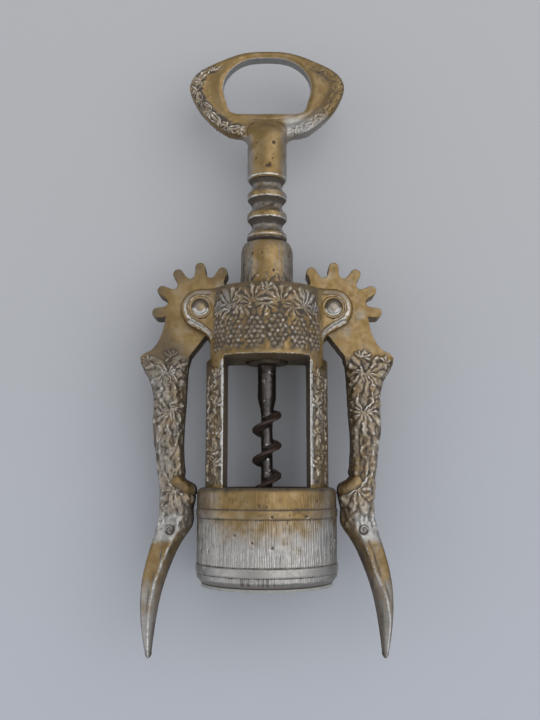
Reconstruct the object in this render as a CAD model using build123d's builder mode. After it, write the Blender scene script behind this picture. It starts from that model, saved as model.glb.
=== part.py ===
from build123d import *
import math
import os

# Wing corkscrew, lying on its back with its arms down. X runs across the arms, Y along the screw
# towards the handle, Z to the decorated front. The origin is the middle of the bell's mouth.
# Millimetres and degrees.

# Mouth that takes the bottle, in a seat ring pressed into the bell
mouth_diameter = 30.6
mouth_depth = 11.0
seat_wall = 2.13
seat_thickness = 1.5
seat_reach = 2.2
lip_height = 0.8
lip_reach = 1.0

# Barrel-shaped bell
bell_wall = 2.3
bell_height = 27.0
bell_plate = 2.6
bell_round = 1.6
foot_rise = 1.7
foot_width = 0.8
throat_radius = 11.5
hoop_rise = 0.3
hoop_width = 2.1
lower_hoop_height = 5.0
upper_hoop_drop = 7.0

# Legs, and the window between them
leg_inset = 2.15
leg_sink = 1.5
window_side_gap = 0.4
window_height = 36.0
window_relief_rise = 3.2
window_relief_start = 7.0

# Head with its two pairs of ears
head_swell = 0.6
head_rise = 6.0
head_top_width = 23.6
head_top_round = 2.4
shield_drop = 4.1
shield_foot_land = 0.6
jamb_width = 4.0
waist_drop = 0.4
waist_length = 3.8
pivot_rise = 14.6
ear_radius = 5.8
ear_wall = 4.75
ear_blend = 3.0
ear_turn = 32.0

# Neck collar that guides the rack
collar_wall = 1.65
collar_length = 14.8
collar_round_height = 3.8
collar_rim = 0.45

# Gear sectors and the ring rack that they drive
tooth_pitch = 6.28
teeth_per_turn = 12
tooth_count = 7
first_tooth_angle = 2.5
tooth_width = 3.0
tooth_addendum = 2.4
tooth_dedendum = 1.0
flank_rise = 0.2
gear_thickness = 8.0
hub_radius = 7.4
rack_radius = 5.9
groove_depth = 1.9
groove_play = 0.9
groove_flank = 0.75
lowest_groove = -2
groove_count = 8
rack_end_land = 1.4

# Lever arms
lever_reach = 97.5
lever_spread = 17.7
arm_thickness = 9.2
arm_swell_gap = 0.36
arm_swell_length = 3.4
horn_thickness = 7.0
tip_thickness = 4.0
# Places along an arm, as shares of its reach (down from the pivot) and of its spread (out from the bell)
arm_outer_shares = [(0.0155, 0.480), (0.060, 0.525), (0.092, 0.597), (0.118, 0.715), (0.139, 0.880),
                    (0.160, 0.875), (0.205, 0.740), (0.282, 0.660), (0.350, 0.665), (0.425, 0.610),
                    (0.520, 0.550), (0.575, 0.530), (0.635, 0.585), (0.697, 0.685), (0.778, 0.790),
                    (0.846, 0.820), (0.932, 0.785), (0.985, 0.733)]
arm_inner_shares = [(0.985, 0.637), (0.892, 0.575), (0.800, 0.470), (0.731, 0.335), (0.660, 0.135),
                    (0.622, 0.007), (0.572, 0.0), (0.523, -0.037), (0.489, 0.110), (0.458, 0.155),
                    (0.361, 0.170), (0.266, 0.140), (0.182, 0.117), (0.137, 0.085)]
arm_tip_shares = (1.0, 0.683)
arm_neck_shares = [(0.078, -0.165), (0.045, -0.465)]
horn_start_share = 0.600

# Handle: a flat bottle-opener ring on a round stem
stem_length = 12.93
stem_cap_length = 4.6
ring_width = 47.0
ring_length = 28.3
ring_thickness = 4.6
ring_edge_round = 1.5
ring_band = 10.25
hole_top_gap = 2.5
tongue_length = 7.0
tongue_width = 16.4
# Half of the ring's outline from its top, and of its hole's, as shares of half the width and of the length
ring_outline_shares = [(0.0, 1.0), (0.30, 0.982), (0.555, 0.909), (0.785, 0.818), (0.935, 0.722),
                       (1.0, 0.595), (0.955, 0.458), (0.842, 0.300), (0.585, 0.102)]
hole_outline_shares = [(0.0, 1.0), (0.62, 0.917), (0.960, 0.655), (1.0, 0.470), (0.915, 0.195)]

# Worm with its shank
worm_tip_rise = 4.45
worm_point_length = 5.5
worm_core_radius = 1.7
worm_outer_radius = 4.2
worm_pitch = 8.6
flight_root = 2.8
flight_crest = 1.2
flight_length = 28.75
shank_radius = 2.7
shank_taper = 4.0
spindle_radius = 2.2
socket_depth = 11.0
socket_end_gap = 0.4

# Pins
pivot_pin_radius = 2.4
rivet_head_reach = 0.45
rivet_recess_gap = 0.3
rivet_recess_depth = 1.1
rivet_crown = 0.9
handle_pin_radius = 1.0
handle_pin_rise = 6.73

# Fits
press_fit = 0.02
running_fit = 0.05
slide_clearance = 0.15
gear_side_clearance = 0.25
gear_tip_clearance = 0.35
mesh_clearance = 0.53
elbow_clearance = 0.74
thrust_clearance = 0.1
cut_overrun = 5.0

# Bell, legs and window from those above
mouth_radius = mouth_diameter / 2
bell_bore_radius = mouth_radius + seat_wall + press_fit
bell_radius = bell_bore_radius + bell_wall
hoop_radius = bell_radius + hoop_rise
leg_radius = bell_radius - leg_inset
window_half = throat_radius + window_side_gap
window_top = bell_height + window_height

# Gears and rack
pitch_radius = tooth_pitch * teeth_per_turn / (2 * math.pi)
tooth_step = 360 / teeth_per_turn
tooth_half = tooth_width / 2
gear_tip_radius = pitch_radius + tooth_addendum
gear_flank_radius = pitch_radius + flank_rise
gear_root_radius = pitch_radius - tooth_dedendum
groove_mouth = tooth_width + groove_play
groove_floor = groove_mouth - 2 * groove_flank
groove_root_radius = rack_radius - groove_depth
pivot_out = groove_root_radius + mesh_clearance + gear_tip_radius
pivot_height = window_top + pivot_rise
slot_half = gear_thickness / 2 + gear_side_clearance
slot_radius = gear_tip_radius + gear_tip_clearance
mesh_height = pivot_height + pitch_radius * math.radians(first_tooth_angle)
groove_heights = [mesh_height + (lowest_groove + step) * tooth_pitch for step in range(groove_count)]
rack_bottom = groove_heights[0] - groove_mouth / 2 - rack_end_land
stem_base = groove_heights[-1] + tooth_pitch + groove_mouth / 2
rack_top = stem_base - thrust_clearance

# Head and collar
head_radius = leg_radius + head_swell
head_height = pivot_height + head_rise
shield_foot_height = window_top - shield_drop
waist_half = window_half + jamb_width
waist_low_height = window_top - waist_drop
ear_face = slot_half + ear_wall
ear_end = pivot_out + ear_radius
rack_bore_radius = rack_radius + slide_clearance
collar_radius = rack_bore_radius + collar_wall
collar_top = head_height + collar_length

# Levers, handle, worm and pins
elbow_out = hoop_radius + elbow_clearance
ring_half = ring_width / 2
ring_bottom = stem_base + stem_length
hole_half = ring_half - ring_band
hole_bottom = ring_bottom + tongue_length
hole_length = ring_length - tongue_length - hole_top_gap
worm_tip_height = mouth_depth + worm_tip_rise
point_end = worm_tip_height + worm_point_length
flight_low = point_end - flight_root / 2
flight_top = flight_low + flight_length
shank_low = flight_top + shank_taper
shank_top = rack_bottom - thrust_clearance
spindle_top = stem_base + socket_depth - socket_end_gap
rivet_head_radius = pivot_pin_radius + rivet_head_reach
handle_pin_height = stem_base + handle_pin_rise
across = Plane(origin=(0, 0, 0), x_dir=(1, 0, 0), z_dir=(0, 1, 0))
pivots = {"left": -pivot_out, "right": pivot_out}


# A point of the left arm's outline from its shares of the arm's reach and spread
def arm_point(shares):
    return (-elbow_out - shares[1] * lever_spread, pivot_height - shares[0] * lever_reach)


# A point of the left gear, given along a tooth's middle line and to one side of it
def tooth_point(angle, along, aside):
    turn = math.radians(angle)
    return (-pivot_out + along * math.cos(turn) - aside * math.sin(turn),
            pivot_height + along * math.sin(turn) + aside * math.cos(turn))


# A point of the ring's outline, or of its hole's, from its shares of half the width and of the length
def ring_point(shares):
    return (shares[0] * ring_half, ring_bottom + shares[1] * ring_length)


def hole_point(shares):
    return (shares[0] * hole_half, hole_bottom + shares[1] * hole_length)


# Head: the shield-shaped front outline, with a round body and flat ears as its depth
with BuildPart() as head:
    with BuildSketch(Plane.XY):
        with BuildLine():
            turn = math.radians(ear_turn)
            ear_top = (pivot_out, pivot_height + ear_radius)
            ear_side = (ear_end, pivot_height)
            ear_low = (pivot_out + ear_radius * math.sin(turn), pivot_height - ear_radius * math.cos(turn))
            top = Line((0, head_height), (head_top_width / 2, head_height))
            slope = Spline(top @ 1, ear_top, tangents=[(1, 0), (1, 0)])
            ear = ThreePointArc(slope @ 1, ear_side, ear_low)
            waist = (waist_half, waist_low_height + waist_length)
            flank = Spline(ear @ 1, waist, tangents=[(-math.cos(turn), -math.sin(turn)), (0, -1)])
            side = Line(flank @ 1, (waist_half, waist_low_height))
            foot = (window_half + shield_foot_land, shield_foot_height)
            corner = Spline(side @ 1, foot, tangents=[(0, -1), (-1, 0)])
            Line(corner @ 1, (0, shield_foot_height))
            mirror(about=Plane.YZ)
        make_face()
    extrude(amount=head_radius, both=True)
    with BuildSketch(across.offset(shield_foot_height)):
        Circle(head_radius)
        Rectangle(2 * ear_end + cut_overrun, 2 * ear_face)
        creases = vertices().filter_by_position(Axis.X, -head_radius, head_radius)
        fillet(creases, radius=ear_blend)
    extrude(amount=head_height - shield_foot_height, mode=Mode.INTERSECT)
    fillet(edges().filter_by_position(Axis.Y, head_height, head_height), radius=head_top_round)

# Frame casting: bell, legs, head and collar in one piece
with BuildPart() as frame:
    with BuildSketch(Plane.XY):
        with BuildLine():
            bell_points = [(bell_bore_radius, lip_height), (bell_bore_radius + foot_width, lip_height),
                           (bell_radius, lip_height + foot_rise)]
            for hoop_height in (lower_hoop_height, bell_height - upper_hoop_drop):
                low = hoop_height - hoop_width / 2
                high = hoop_height + hoop_width / 2
                bell_points += [(bell_radius, low), (hoop_radius, low),
                                (hoop_radius, high), (bell_radius, high)]
            bell_points += [(bell_radius, bell_height), (throat_radius, bell_height),
                            (throat_radius, bell_height - bell_plate),
                            (bell_bore_radius, bell_height - bell_plate)]
            Polyline(*bell_points, close=True)
        make_face()
        shoulder = vertices().sort_by_distance((bell_radius, bell_height))[0]
        fillet(shoulder, radius=bell_round)
    revolve(axis=Axis.Y)
    with BuildSketch(across.offset(bell_height - leg_sink)):
        Circle(leg_radius)
        Rectangle(2 * window_half, 2 * leg_radius, mode=Mode.SUBTRACT)
    extrude(amount=window_height + leg_sink)
    add(head.part)
    with BuildSketch(Plane.XY):
        with BuildLine():
            collar_rim_radius = rack_bore_radius + collar_rim
            collar_side = Polyline((0, pivot_height), (collar_radius, pivot_height),
                                   (collar_radius, collar_top - collar_round_height))
            crown = Spline(collar_side @ 1, (collar_rim_radius, collar_top), tangents=[(0, 1), (-1, 1)])
            Polyline(crown @ 1, (0, collar_top), (0, pivot_height))
        make_face()
    revolve(axis=Axis.Y)
    # Window under the head, leaning away at the back
    with BuildSketch(Plane.XY):
        with Locations((0, window_top)):
            Rectangle(2 * window_half, window_height, align=(Align.CENTER, Align.MAX))
    extrude(amount=head_radius, both=True, mode=Mode.SUBTRACT)
    with BuildSketch(Plane.YZ):
        with BuildLine():
            Polyline((window_top, -window_relief_start), (window_top, -head_radius),
                     (window_top + window_relief_rise, -head_radius), close=True)
        make_face()
    extrude(amount=window_half, both=True, mode=Mode.SUBTRACT)
    # Guide bore for the rack
    with BuildSketch(across.offset(window_top - cut_overrun)):
        Circle(rack_bore_radius)
    extrude(amount=collar_top - window_top + 2 * cut_overrun, mode=Mode.SUBTRACT)
    # Gear slots, pivot holes and the recesses of their rivet heads
    with BuildSketch(Plane.XY):
        with Locations(*[(out, pivot_height) for out in pivots.values()]):
            Circle(slot_radius)
    extrude(amount=slot_half, both=True, mode=Mode.SUBTRACT)
    with BuildSketch(Plane.XY):
        with Locations(*[(out, pivot_height) for out in pivots.values()]):
            Circle(pivot_pin_radius + press_fit)
    extrude(amount=ear_face + cut_overrun, both=True, mode=Mode.SUBTRACT)
    for facing in (1, -1):
        with BuildSketch(Plane.XY.offset(facing * (ear_face - rivet_recess_depth))):
            with Locations(*[(out, pivot_height) for out in pivots.values()]):
                Circle(rivet_head_radius + rivet_recess_gap)
        extrude(amount=facing * cut_overrun, mode=Mode.SUBTRACT)

# Seat ring: the bore that takes the bottle's mouth, with a lip outside and a seat inside
with BuildPart() as seat_ring:
    with BuildSketch(Plane.XY):
        with BuildLine():
            wall_radius = mouth_radius + seat_wall
            seat_top = mouth_depth + seat_thickness
            lip_radius = wall_radius + lip_reach
            seat_radius = mouth_radius - seat_reach
            Polyline((mouth_radius, 0), (lip_radius, 0), (lip_radius, lip_height), (wall_radius, lip_height),
                     (wall_radius, seat_top), (seat_radius, seat_top), (seat_radius, mouth_depth),
                     (mouth_radius, mouth_depth), close=True)
        make_face()
    revolve(axis=Axis.Y)

# Left lever: gear sector, arm with its elbow beside the bell, and horn
with BuildPart() as left_lever:
    with BuildSketch(Plane.XY):
        pivot = (-pivot_out, pivot_height)
        with Locations(pivot):
            Circle(hub_radius)
        with BuildLine():
            flank = math.sqrt(gear_flank_radius**2 - tooth_half**2)
            ends = [tooth_point(first_tooth_angle, hub_radius, -tooth_half)]
            for step in range(tooth_count):
                angle = first_tooth_angle + step * tooth_step
                near = tooth_point(angle, gear_tip_radius - tooth_half, -tooth_half)
                far = tooth_point(angle, gear_tip_radius - tooth_half, tooth_half)
                Line(ends[-1], near)
                ThreePointArc(near, tooth_point(angle, gear_tip_radius, 0), far)
                if step + 1 < tooth_count:
                    foot = tooth_point(angle, flank, tooth_half)
                    ends.append(tooth_point(angle + tooth_step, flank, -tooth_half))
                    Line(far, foot)
                    ThreePointArc(foot, tooth_point(angle + tooth_step / 2, gear_root_radius, 0), ends[-1])
            Polyline(far, tooth_point(angle, hub_radius, tooth_half), pivot, ends[0])
        make_face()
        with BuildLine():
            outer = Spline(*[arm_point(shares) for shares in arm_outer_shares])
            inner = Spline(*[arm_point(shares) for shares in arm_inner_shares])
            ThreePointArc(outer @ 1, arm_point(arm_tip_shares), inner @ 0)
            neck = [arm_point(shares) for shares in arm_neck_shares]
            Polyline(inner @ 1, *neck, pivot, outer @ 0)
        make_face()
    extrude(amount=arm_thickness / 2, both=True)
    with BuildSketch(Plane.YZ):
        with BuildLine():
            gear_half = gear_thickness / 2
            gear_end = pivot_height - slot_radius - arm_swell_gap
            arm_start = gear_end - arm_swell_length
            horn_start = pivot_height - horn_start_share * lever_reach
            arm_end = pivot_height - lever_reach
            head_end = pivot_height + gear_tip_radius
            upper = Polyline((head_end, gear_half), (gear_end, gear_half), (arm_start, arm_thickness / 2),
                             (horn_start, arm_thickness / 2))
            back = Spline(upper @ 1, (arm_end, tip_thickness / 2),
                          tangents=[(-lever_reach, 0), (-lever_reach, -horn_thickness / 2)])
            Line(back @ 1, (arm_end, 0))
            Line(upper @ 0, (head_end, 0))
            mirror(about=Plane.XZ)
        make_face()
    extrude(amount=2 * pivot_out + lever_spread, both=True, mode=Mode.INTERSECT)
    with Locations(pivot):
        Hole(radius=pivot_pin_radius + running_fit)

with BuildPart() as right_lever:
    mirror(left_lever.part, about=Plane.YZ)

# Handle: ring with a bottle-opener hole, and a stem with a socket for the worm's spindle
with BuildPart() as handle:
    with BuildSketch(Plane.XY):
        with BuildLine():
            rim = Spline(*[ring_point(shares) for shares in ring_outline_shares],
                         (rack_radius, ring_bottom), tangents=[(1, 0), (-ring_half, -ring_length / 4)])
            Line(rim @ 1, (0, ring_bottom))
            mirror(about=Plane.YZ)
        make_face()
    extrude(amount=ring_thickness / 2, both=True)
    fillet(faces().filter_by(Axis.Z).edges(), radius=ring_edge_round)
    with BuildSketch(Plane.XY):
        with BuildLine():
            edge = Spline(*[hole_point(shares) for shares in hole_outline_shares],
                          (tongue_width / 2, hole_bottom), tangents=[(1, 0), (-1, 0)])
            Line(edge @ 1, (0, hole_bottom))
            mirror(about=Plane.YZ)
        make_face()
    extrude(amount=ring_thickness, both=True, mode=Mode.SUBTRACT)
    with BuildSketch(Plane.XY):
        with BuildLine():
            stem_side = Polyline((0, stem_base), (rack_radius, stem_base), (rack_radius, ring_bottom))
            cap = Spline(stem_side @ 1, (0, ring_bottom + stem_cap_length), tangents=[(0, 1), (-1, 0)])
            Line(cap @ 1, (0, stem_base))
        make_face()
    revolve(axis=Axis.Y)
    with BuildSketch(across.offset(stem_base - cut_overrun)):
        Circle(spindle_radius + press_fit)
    extrude(amount=socket_depth + cut_overrun, mode=Mode.SUBTRACT)
    with BuildSketch(Plane.YZ):
        with Locations((handle_pin_height, 0)):
            Circle(handle_pin_radius + press_fit)
    extrude(amount=rack_radius + cut_overrun, both=True, mode=Mode.SUBTRACT)

# Rack: a sleeve with ring grooves, so that the gears drive it while the handle turns in it
with BuildPart() as rack:
    with BuildSketch(Plane.XY):
        with BuildLine():
            rack_inner = spindle_radius + running_fit
            rack_points = [(rack_inner, rack_bottom), (rack_radius, rack_bottom)]
            for height in groove_heights:
                rack_points += [(rack_radius, height - groove_mouth / 2),
                                (groove_root_radius, height - groove_floor / 2),
                                (groove_root_radius, height + groove_floor / 2),
                                (rack_radius, height + groove_mouth / 2)]
            last_height = groove_heights[-1] + tooth_pitch
            rack_points += [(rack_radius, last_height - groove_mouth / 2),
                            (groove_root_radius, last_height - groove_floor / 2),
                            (groove_root_radius, rack_top), (rack_inner, rack_top)]
            Polyline(*rack_points, close=True)
        make_face()
    revolve(axis=Axis.Y)

# Worm: spindle in the handle, shank, core with its point, and the flight wound round the core
with BuildPart() as worm:
    with BuildSketch(Plane.YZ):
        with BuildLine():
            Polyline((worm_tip_height, 0), (point_end, worm_core_radius),
                     (flight_top, worm_core_radius), (shank_low, shank_radius),
                     (shank_top, shank_radius), (shank_top, spindle_radius),
                     (spindle_top, spindle_radius), (spindle_top, 0), close=True)
        make_face()
    revolve(axis=Axis.Y)
    with BuildLine():
        turns = Helix(worm_pitch, flight_length, worm_core_radius, center=(0, flight_low, 0),
                      direction=(0, 1, 0))
    flight_plane = Plane(origin=turns @ 0, x_dir=(turns @ 0) - Vector(0, flight_low, 0), z_dir=turns % 0)
    with BuildSketch(flight_plane):
        with BuildLine():
            flight_depth = worm_outer_radius - worm_core_radius
            flight_sink = worm_core_radius / 3
            Polyline((-flight_sink, -flight_root / 2), (flight_depth, -flight_crest / 2),
                     (flight_depth, flight_crest / 2), (-flight_sink, flight_root / 2), close=True)
        make_face()
    sweep(path=turns, is_frenet=True)
    with BuildSketch(Plane.YZ):
        with Locations((handle_pin_height, 0)):
            Circle(handle_pin_radius + press_fit)
    extrude(amount=spindle_radius + cut_overrun, both=True, mode=Mode.SUBTRACT)

with BuildPart() as handle_pin:
    with BuildSketch(Plane.YZ):
        with Locations((handle_pin_height, 0)):
            Circle(handle_pin_radius)
    extrude(amount=math.sqrt(rack_radius**2 - handle_pin_radius**2), both=True)

pieces = {"frame": frame, "seat_ring": seat_ring, "left_lever": left_lever, "right_lever": right_lever,
          "handle": handle, "rack": rack, "worm": worm, "handle_pin": handle_pin}

# Pivot rivets with a low round head at each end, sunk in the ears
for side, out in pivots.items():
    with BuildPart() as rivet:
        with BuildSketch(Plane.XZ.offset(-pivot_height)):
            with BuildLine():
                recess_floor = ear_face - rivet_recess_depth
                edge = Polyline((out, 0), (out + pivot_pin_radius, 0), (out + pivot_pin_radius, recess_floor),
                                (out + rivet_head_radius, recess_floor))
                crown = Spline(edge @ 1, (out, recess_floor + rivet_crown), tangents=[(0, 1), (-1, 0)])
                Line(crown @ 1, (out, 0))
            make_face()
        revolve(axis=Axis((out, pivot_height, 0), (0, 0, 1)))
        mirror(about=Plane.XY)
    pieces[side + "_rivet"] = rivet

os.makedirs("parts", exist_ok=True)
for name, piece in pieces.items():
    piece.part.label = name
    export_step(piece.part, f"parts/{name}.step")
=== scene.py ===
import bmesh
import bpy
import math
import numpy as np
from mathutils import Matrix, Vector
from types import SimpleNamespace


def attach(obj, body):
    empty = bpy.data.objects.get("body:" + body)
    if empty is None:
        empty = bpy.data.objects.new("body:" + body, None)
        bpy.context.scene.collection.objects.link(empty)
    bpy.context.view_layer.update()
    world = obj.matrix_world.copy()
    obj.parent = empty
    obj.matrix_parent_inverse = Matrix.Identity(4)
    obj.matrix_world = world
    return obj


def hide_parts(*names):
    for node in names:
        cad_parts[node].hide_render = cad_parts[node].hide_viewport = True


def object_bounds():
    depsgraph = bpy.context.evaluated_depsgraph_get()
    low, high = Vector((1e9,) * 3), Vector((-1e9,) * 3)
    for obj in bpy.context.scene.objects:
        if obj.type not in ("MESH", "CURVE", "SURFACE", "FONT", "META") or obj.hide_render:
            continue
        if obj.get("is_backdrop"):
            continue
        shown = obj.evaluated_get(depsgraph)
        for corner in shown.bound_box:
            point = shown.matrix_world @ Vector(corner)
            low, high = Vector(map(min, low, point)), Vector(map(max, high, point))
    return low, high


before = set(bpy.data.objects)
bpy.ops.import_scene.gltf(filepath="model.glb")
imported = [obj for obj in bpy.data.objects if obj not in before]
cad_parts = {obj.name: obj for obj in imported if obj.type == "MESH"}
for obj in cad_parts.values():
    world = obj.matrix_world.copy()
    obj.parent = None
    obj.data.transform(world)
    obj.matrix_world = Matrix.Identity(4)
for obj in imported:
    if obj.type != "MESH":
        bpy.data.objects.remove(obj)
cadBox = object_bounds()
mm = 0.001  # the script works in millimetres, Blender in metres
print("frame loaded, nodes:", sorted(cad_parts))


# even skins over the CAD solids

def linkMesh(name, mesh):
    piece = bpy.data.objects.new(name, mesh)
    bpy.context.scene.collection.objects.link(piece)
    return piece


def evenSkin(name, source, voxel):
    piece = linkMesh(name, source)
    grid = piece.modifiers.new("evenGrid", "REMESH")
    grid.mode = "VOXEL"
    grid.voxel_size = voxel * mm
    seen = bpy.context.evaluated_depsgraph_get()
    fine = bpy.data.meshes.new_from_object(piece.evaluated_get(seen))
    piece.modifiers.clear()
    piece.data = fine
    fine.materials.clear()
    return piece


def readPoints(mesh):
    flat = np.zeros(len(mesh.vertices) * 3)
    mesh.vertices.foreach_get("co", flat)
    return flat.reshape(-1, 3) / mm


def writePoints(mesh, points):
    mesh.vertices.foreach_set("co", (points * mm).astype(np.float32).ravel())
    mesh.update()


def readNormals(mesh):
    flat = np.zeros(len(mesh.vertices) * 3)
    mesh.vertices.foreach_get("normal", flat)
    return flat.reshape(-1, 3)


def readEdges(mesh):
    flat = np.zeros(len(mesh.edges) * 2, np.int64)
    mesh.edges.foreach_get("vertices", flat)
    return flat.reshape(-1, 2)


def neighbourMean(values, edges):
    near, far = edges[:, 0], edges[:, 1]
    count = len(values)
    share = np.maximum(np.bincount(near, minlength=count) + np.bincount(far, minlength=count), 1)
    total = np.empty_like(values)
    for axis in range(values.shape[1]):
        column = values[:, axis]
        total[:, axis] = np.bincount(near, column[far], count) + np.bincount(far, column[near], count)
    return total / share[:, None]


smoothing = {"inward": 0.5, "outward": -0.52}  # a step in and about as far out again keeps a form's size


def relax(points, edges, rounds):
    for turn in range(rounds):
        for step in (smoothing["inward"], smoothing["outward"]):
            points = points + step * (neighbourMean(points, edges) - points)
    return points


def melt(points, edges, rounds, share=1.0):
    step = smoothing["inward"] * np.broadcast_to(np.asarray(share, float), (len(points),))[:, None]
    for turn in range(rounds):
        points = points + step * (neighbourMean(points, edges) - points)
    return points


def openSkin(name, source, voxel, rounds):
    piece = evenSkin(name, source, voxel)
    edges = readEdges(piece.data)
    return piece, edges, relax(readPoints(piece.data), edges, rounds)


def shapedNormals(piece, points):
    writePoints(piece.data, points)
    return readNormals(piece.data)


# soft steps, noise and relief motifs, all in millimetres

def ramp(low, high, x):
    t = np.clip((x - low) / (high - low), 0, 1)
    return t * t * (3 - 2 * t)


def within(x, start, full, hold, end):
    return ramp(start, full, x) * ramp(end, hold, x)


def softNoise(points, grain, seed):
    size = 32
    lattice = np.random.default_rng(seed).uniform(-1, 1, (size, size, size))
    p = np.asarray(points) / np.asarray(grain)
    base = np.floor(p).astype(np.int64)
    t = p - base
    t = t * t * (3 - 2 * t)
    total = np.zeros(len(p))
    for corner in range(8):
        step = [corner >> axis & 1 for axis in range(3)]
        weight = np.ones(len(p))
        for axis in range(3):
            weight *= t[:, axis] if step[axis] else 1 - t[:, axis]
        at = [(base[:, axis] + step[axis]) % size for axis in range(3)]
        total += weight * lattice[at[0], at[1], at[2]]
    return total


motif = {"wanderWide": 2.1, "wanderFine": 0.9, "fineShare": 0.6,
         "leafDroop": 0.30, "leafNotch": 0.38, "leafHub": 0.22, "leafFloor": 0.25, "hubRise": 0.35,
         "leafSharp": 1.2, "grapeAcross": 1.9, "grapeDown": 1.65, "grapeStray": 0.15, "curlEnd": 0.15,
         "pitDepth": 0.6}


# layers of amount and grain
def roughSkin(points, layers, seed):
    return sum(amount * softNoise(points, grain, seed + k) for k, (amount, grain) in enumerate(layers))


def drift(points, amount, seed):
    wide = [softNoise(points, motif["wanderWide"], seed + k) for k in range(2)]
    fine = [softNoise(points, motif["wanderFine"], seed + 2 + k) for k in range(2)]
    return [amount * (a + motif["fineShare"] * b) for a, b in zip(wide, fine)]


def fanLeaf(u, v, across, up, turn, reach, spread, lobes, rise, sharp):
    x, y = u - across, v - up
    r = np.hypot(x, y)
    a = (np.arctan2(x, y) - math.radians(turn) + np.pi) % (2 * np.pi) - np.pi
    half = math.radians(spread)
    wave = np.abs(np.cos(a / (2 * half) * lobes * np.pi))
    share = np.clip(np.abs(a) / half, 0, 1)
    edge = reach * (1 - motif["leafDroop"] * share ** 2) * (1 - motif["leafNotch"] * (1 - wave ** 0.8))
    dome = np.clip(1 - (r / edge) ** 4, 0, 1) ** 0.6
    hub = ramp(0.0, motif["leafHub"] * reach, r)
    veins = motif["leafFloor"] + (1 - motif["leafFloor"]) * wave ** sharp * hub + motif["hubRise"] * (1 - hub)
    return rise * dome * veins * (np.abs(a) < half)


def leafField(u, v, leaves, sharp=motif["leafSharp"]):
    field = np.zeros(len(u))
    for leaf in leaves:
        field = np.maximum(field, fanLeaf(u, v, *leaf, sharp))
    return field


def grapes(u, v, at, rows, grape, seed):
    jitter = np.random.default_rng(seed)
    stray = motif["grapeStray"]
    height = np.zeros(len(u))
    for row, count in enumerate(rows):
        for place in range(count):
            along = (place - (count - 1) / 2) * motif["grapeAcross"] + jitter.uniform(-stray, stray)
            down = row * motif["grapeDown"] - jitter.uniform(-stray, stray)
            gone = (u - at[0] - along * grape) ** 2 + (v - at[1] + down * grape) ** 2
            height = np.maximum(height, np.sqrt(np.clip(grape ** 2 - gone, 0, None)))
    return height


def softPath(points, steps=8):
    p = np.array(points, float)
    p = np.vstack([2 * p[0] - p[1], p, 2 * p[-1] - p[-2]])
    out = []
    for i in range(1, len(p) - 2):
        for t in np.arange(steps) / steps:
            out.append(0.5 * (2 * p[i] + (p[i + 1] - p[i - 1]) * t
                              + (2 * p[i - 1] - 5 * p[i] + 4 * p[i + 1] - p[i + 2]) * t ** 2
                              + (3 * p[i] - p[i - 1] - 3 * p[i + 1] + p[i + 2]) * t ** 3))
    out.append(p[-2])
    return np.array(out)


def pathGap(u, v, path):
    gap = np.full(len(u), 1e9)
    for a, b in zip(path, path[1:]):
        run = b - a
        t = np.clip(((u - a[0]) * run[0] + (v - a[1]) * run[1]) / max(run @ run, 1e-9), 0, 1)
        gap = np.minimum(gap, np.hypot(u - a[0] - t * run[0], v - a[1] - t * run[1]))
    return gap


def rope(u, v, path, thick):
    return np.sqrt(np.clip(thick ** 2 - pathGap(u, v, path) ** 2, 0, None))


def curl(u, v, at, radius, turns, wire):
    t = np.linspace(0, 1, int(16 * turns))
    reach = radius * (1 - (1 - motif["curlEnd"]) * t)
    path = np.column_stack([at[0] + reach * np.cos(2 * np.pi * turns * t),
                            at[1] + reach * np.sin(2 * np.pi * turns * t)])
    return rope(u, v, path, wire)


def pits(points, spots):
    depth = np.zeros(len(points))
    for x, y, z, size in spots:
        gone = np.linalg.norm(points - (x, y, z), axis=1)
        depth = np.minimum(depth, -motif["pitDepth"] * size * ramp(size, 0.2 * size, gone))
    return depth


def ridgeLine(x, middle, width):
    return np.exp(-((x - middle) / width) ** 2)


# per-point marks that the metal reads: worn high points together with painted highlights, grime in the
# hollows together with painted shade there and wherever a piece paints it, and gilt that is left
wearRule = {"nearRounds": 4, "wideRounds": 26, "hollowFine": 0.55, "hollowWide": 0.65, "hollowMost": 0.75,
            "wornShare": 0.6, "patchGrain": 1.3, "patchMean": 0.75, "patchSwing": 0.45}


def storeMark(mesh, name, values):
    mark = mesh.attributes.new(name, "FLOAT", "POINT")
    mark.data.foreach_set("value", np.clip(values, 0, 1).astype(np.float32))


def markWear(piece, gilt, grimeAndShade, sharp=0.09, deep=0.42, polish=0.8, shine=0.0, gain=1.0):
    mesh = piece.data
    points, edges, normals = readPoints(mesh), readEdges(mesh), readNormals(mesh)
    near = melt(points, edges, wearRule["nearRounds"])
    wide = melt(near, edges, wearRule["wideRounds"])
    fineBump = ((points - near) * normals).sum(1) / sharp
    wideBump = ((points - wide) * normals).sum(1) / deep
    patchy = wearRule["patchMean"] + wearRule["patchSwing"] * softNoise(points, wearRule["patchGrain"], 8)
    # the hollow mark is grime in the recesses and also painted shade there, like ambient occlusion
    hollow = -wearRule["hollowFine"] * fineBump - wearRule["hollowWide"] * wideBump
    storeMark(mesh, "hollow", gain * np.clip(hollow, 0, wearRule["hollowMost"]) * patchy + grimeAndShade)
    # the wear mark also takes the painted highlights that a piece passes in as shine
    storeMark(mesh, "wearAndHighlight", polish * wearRule["wornShare"] * (fineBump + wideBump) + shine)
    storeMark(mesh, "gilt", gilt)
    mesh.shade_smooth()


# camera and light
photoView = {"place": (0.9, 30.0, 240.0), "lean": 8.0, "lens": 41.5, "sensor": 36.0, "clip": (0.01, 20)}

camera = bpy.data.objects.new("photoCamera", bpy.data.cameras.new("photoCamera"))
bpy.context.scene.collection.objects.link(camera)
camera.location = Vector(photoView["place"]) * mm
camera.rotation_euler = (math.radians(photoView["lean"]), 0, 0)
camera.data.lens = photoView["lens"]
camera.data.sensor_width = photoView["sensor"]
camera.data.clip_start, camera.data.clip_end = photoView["clip"]
bpy.context.scene.camera = camera

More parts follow.
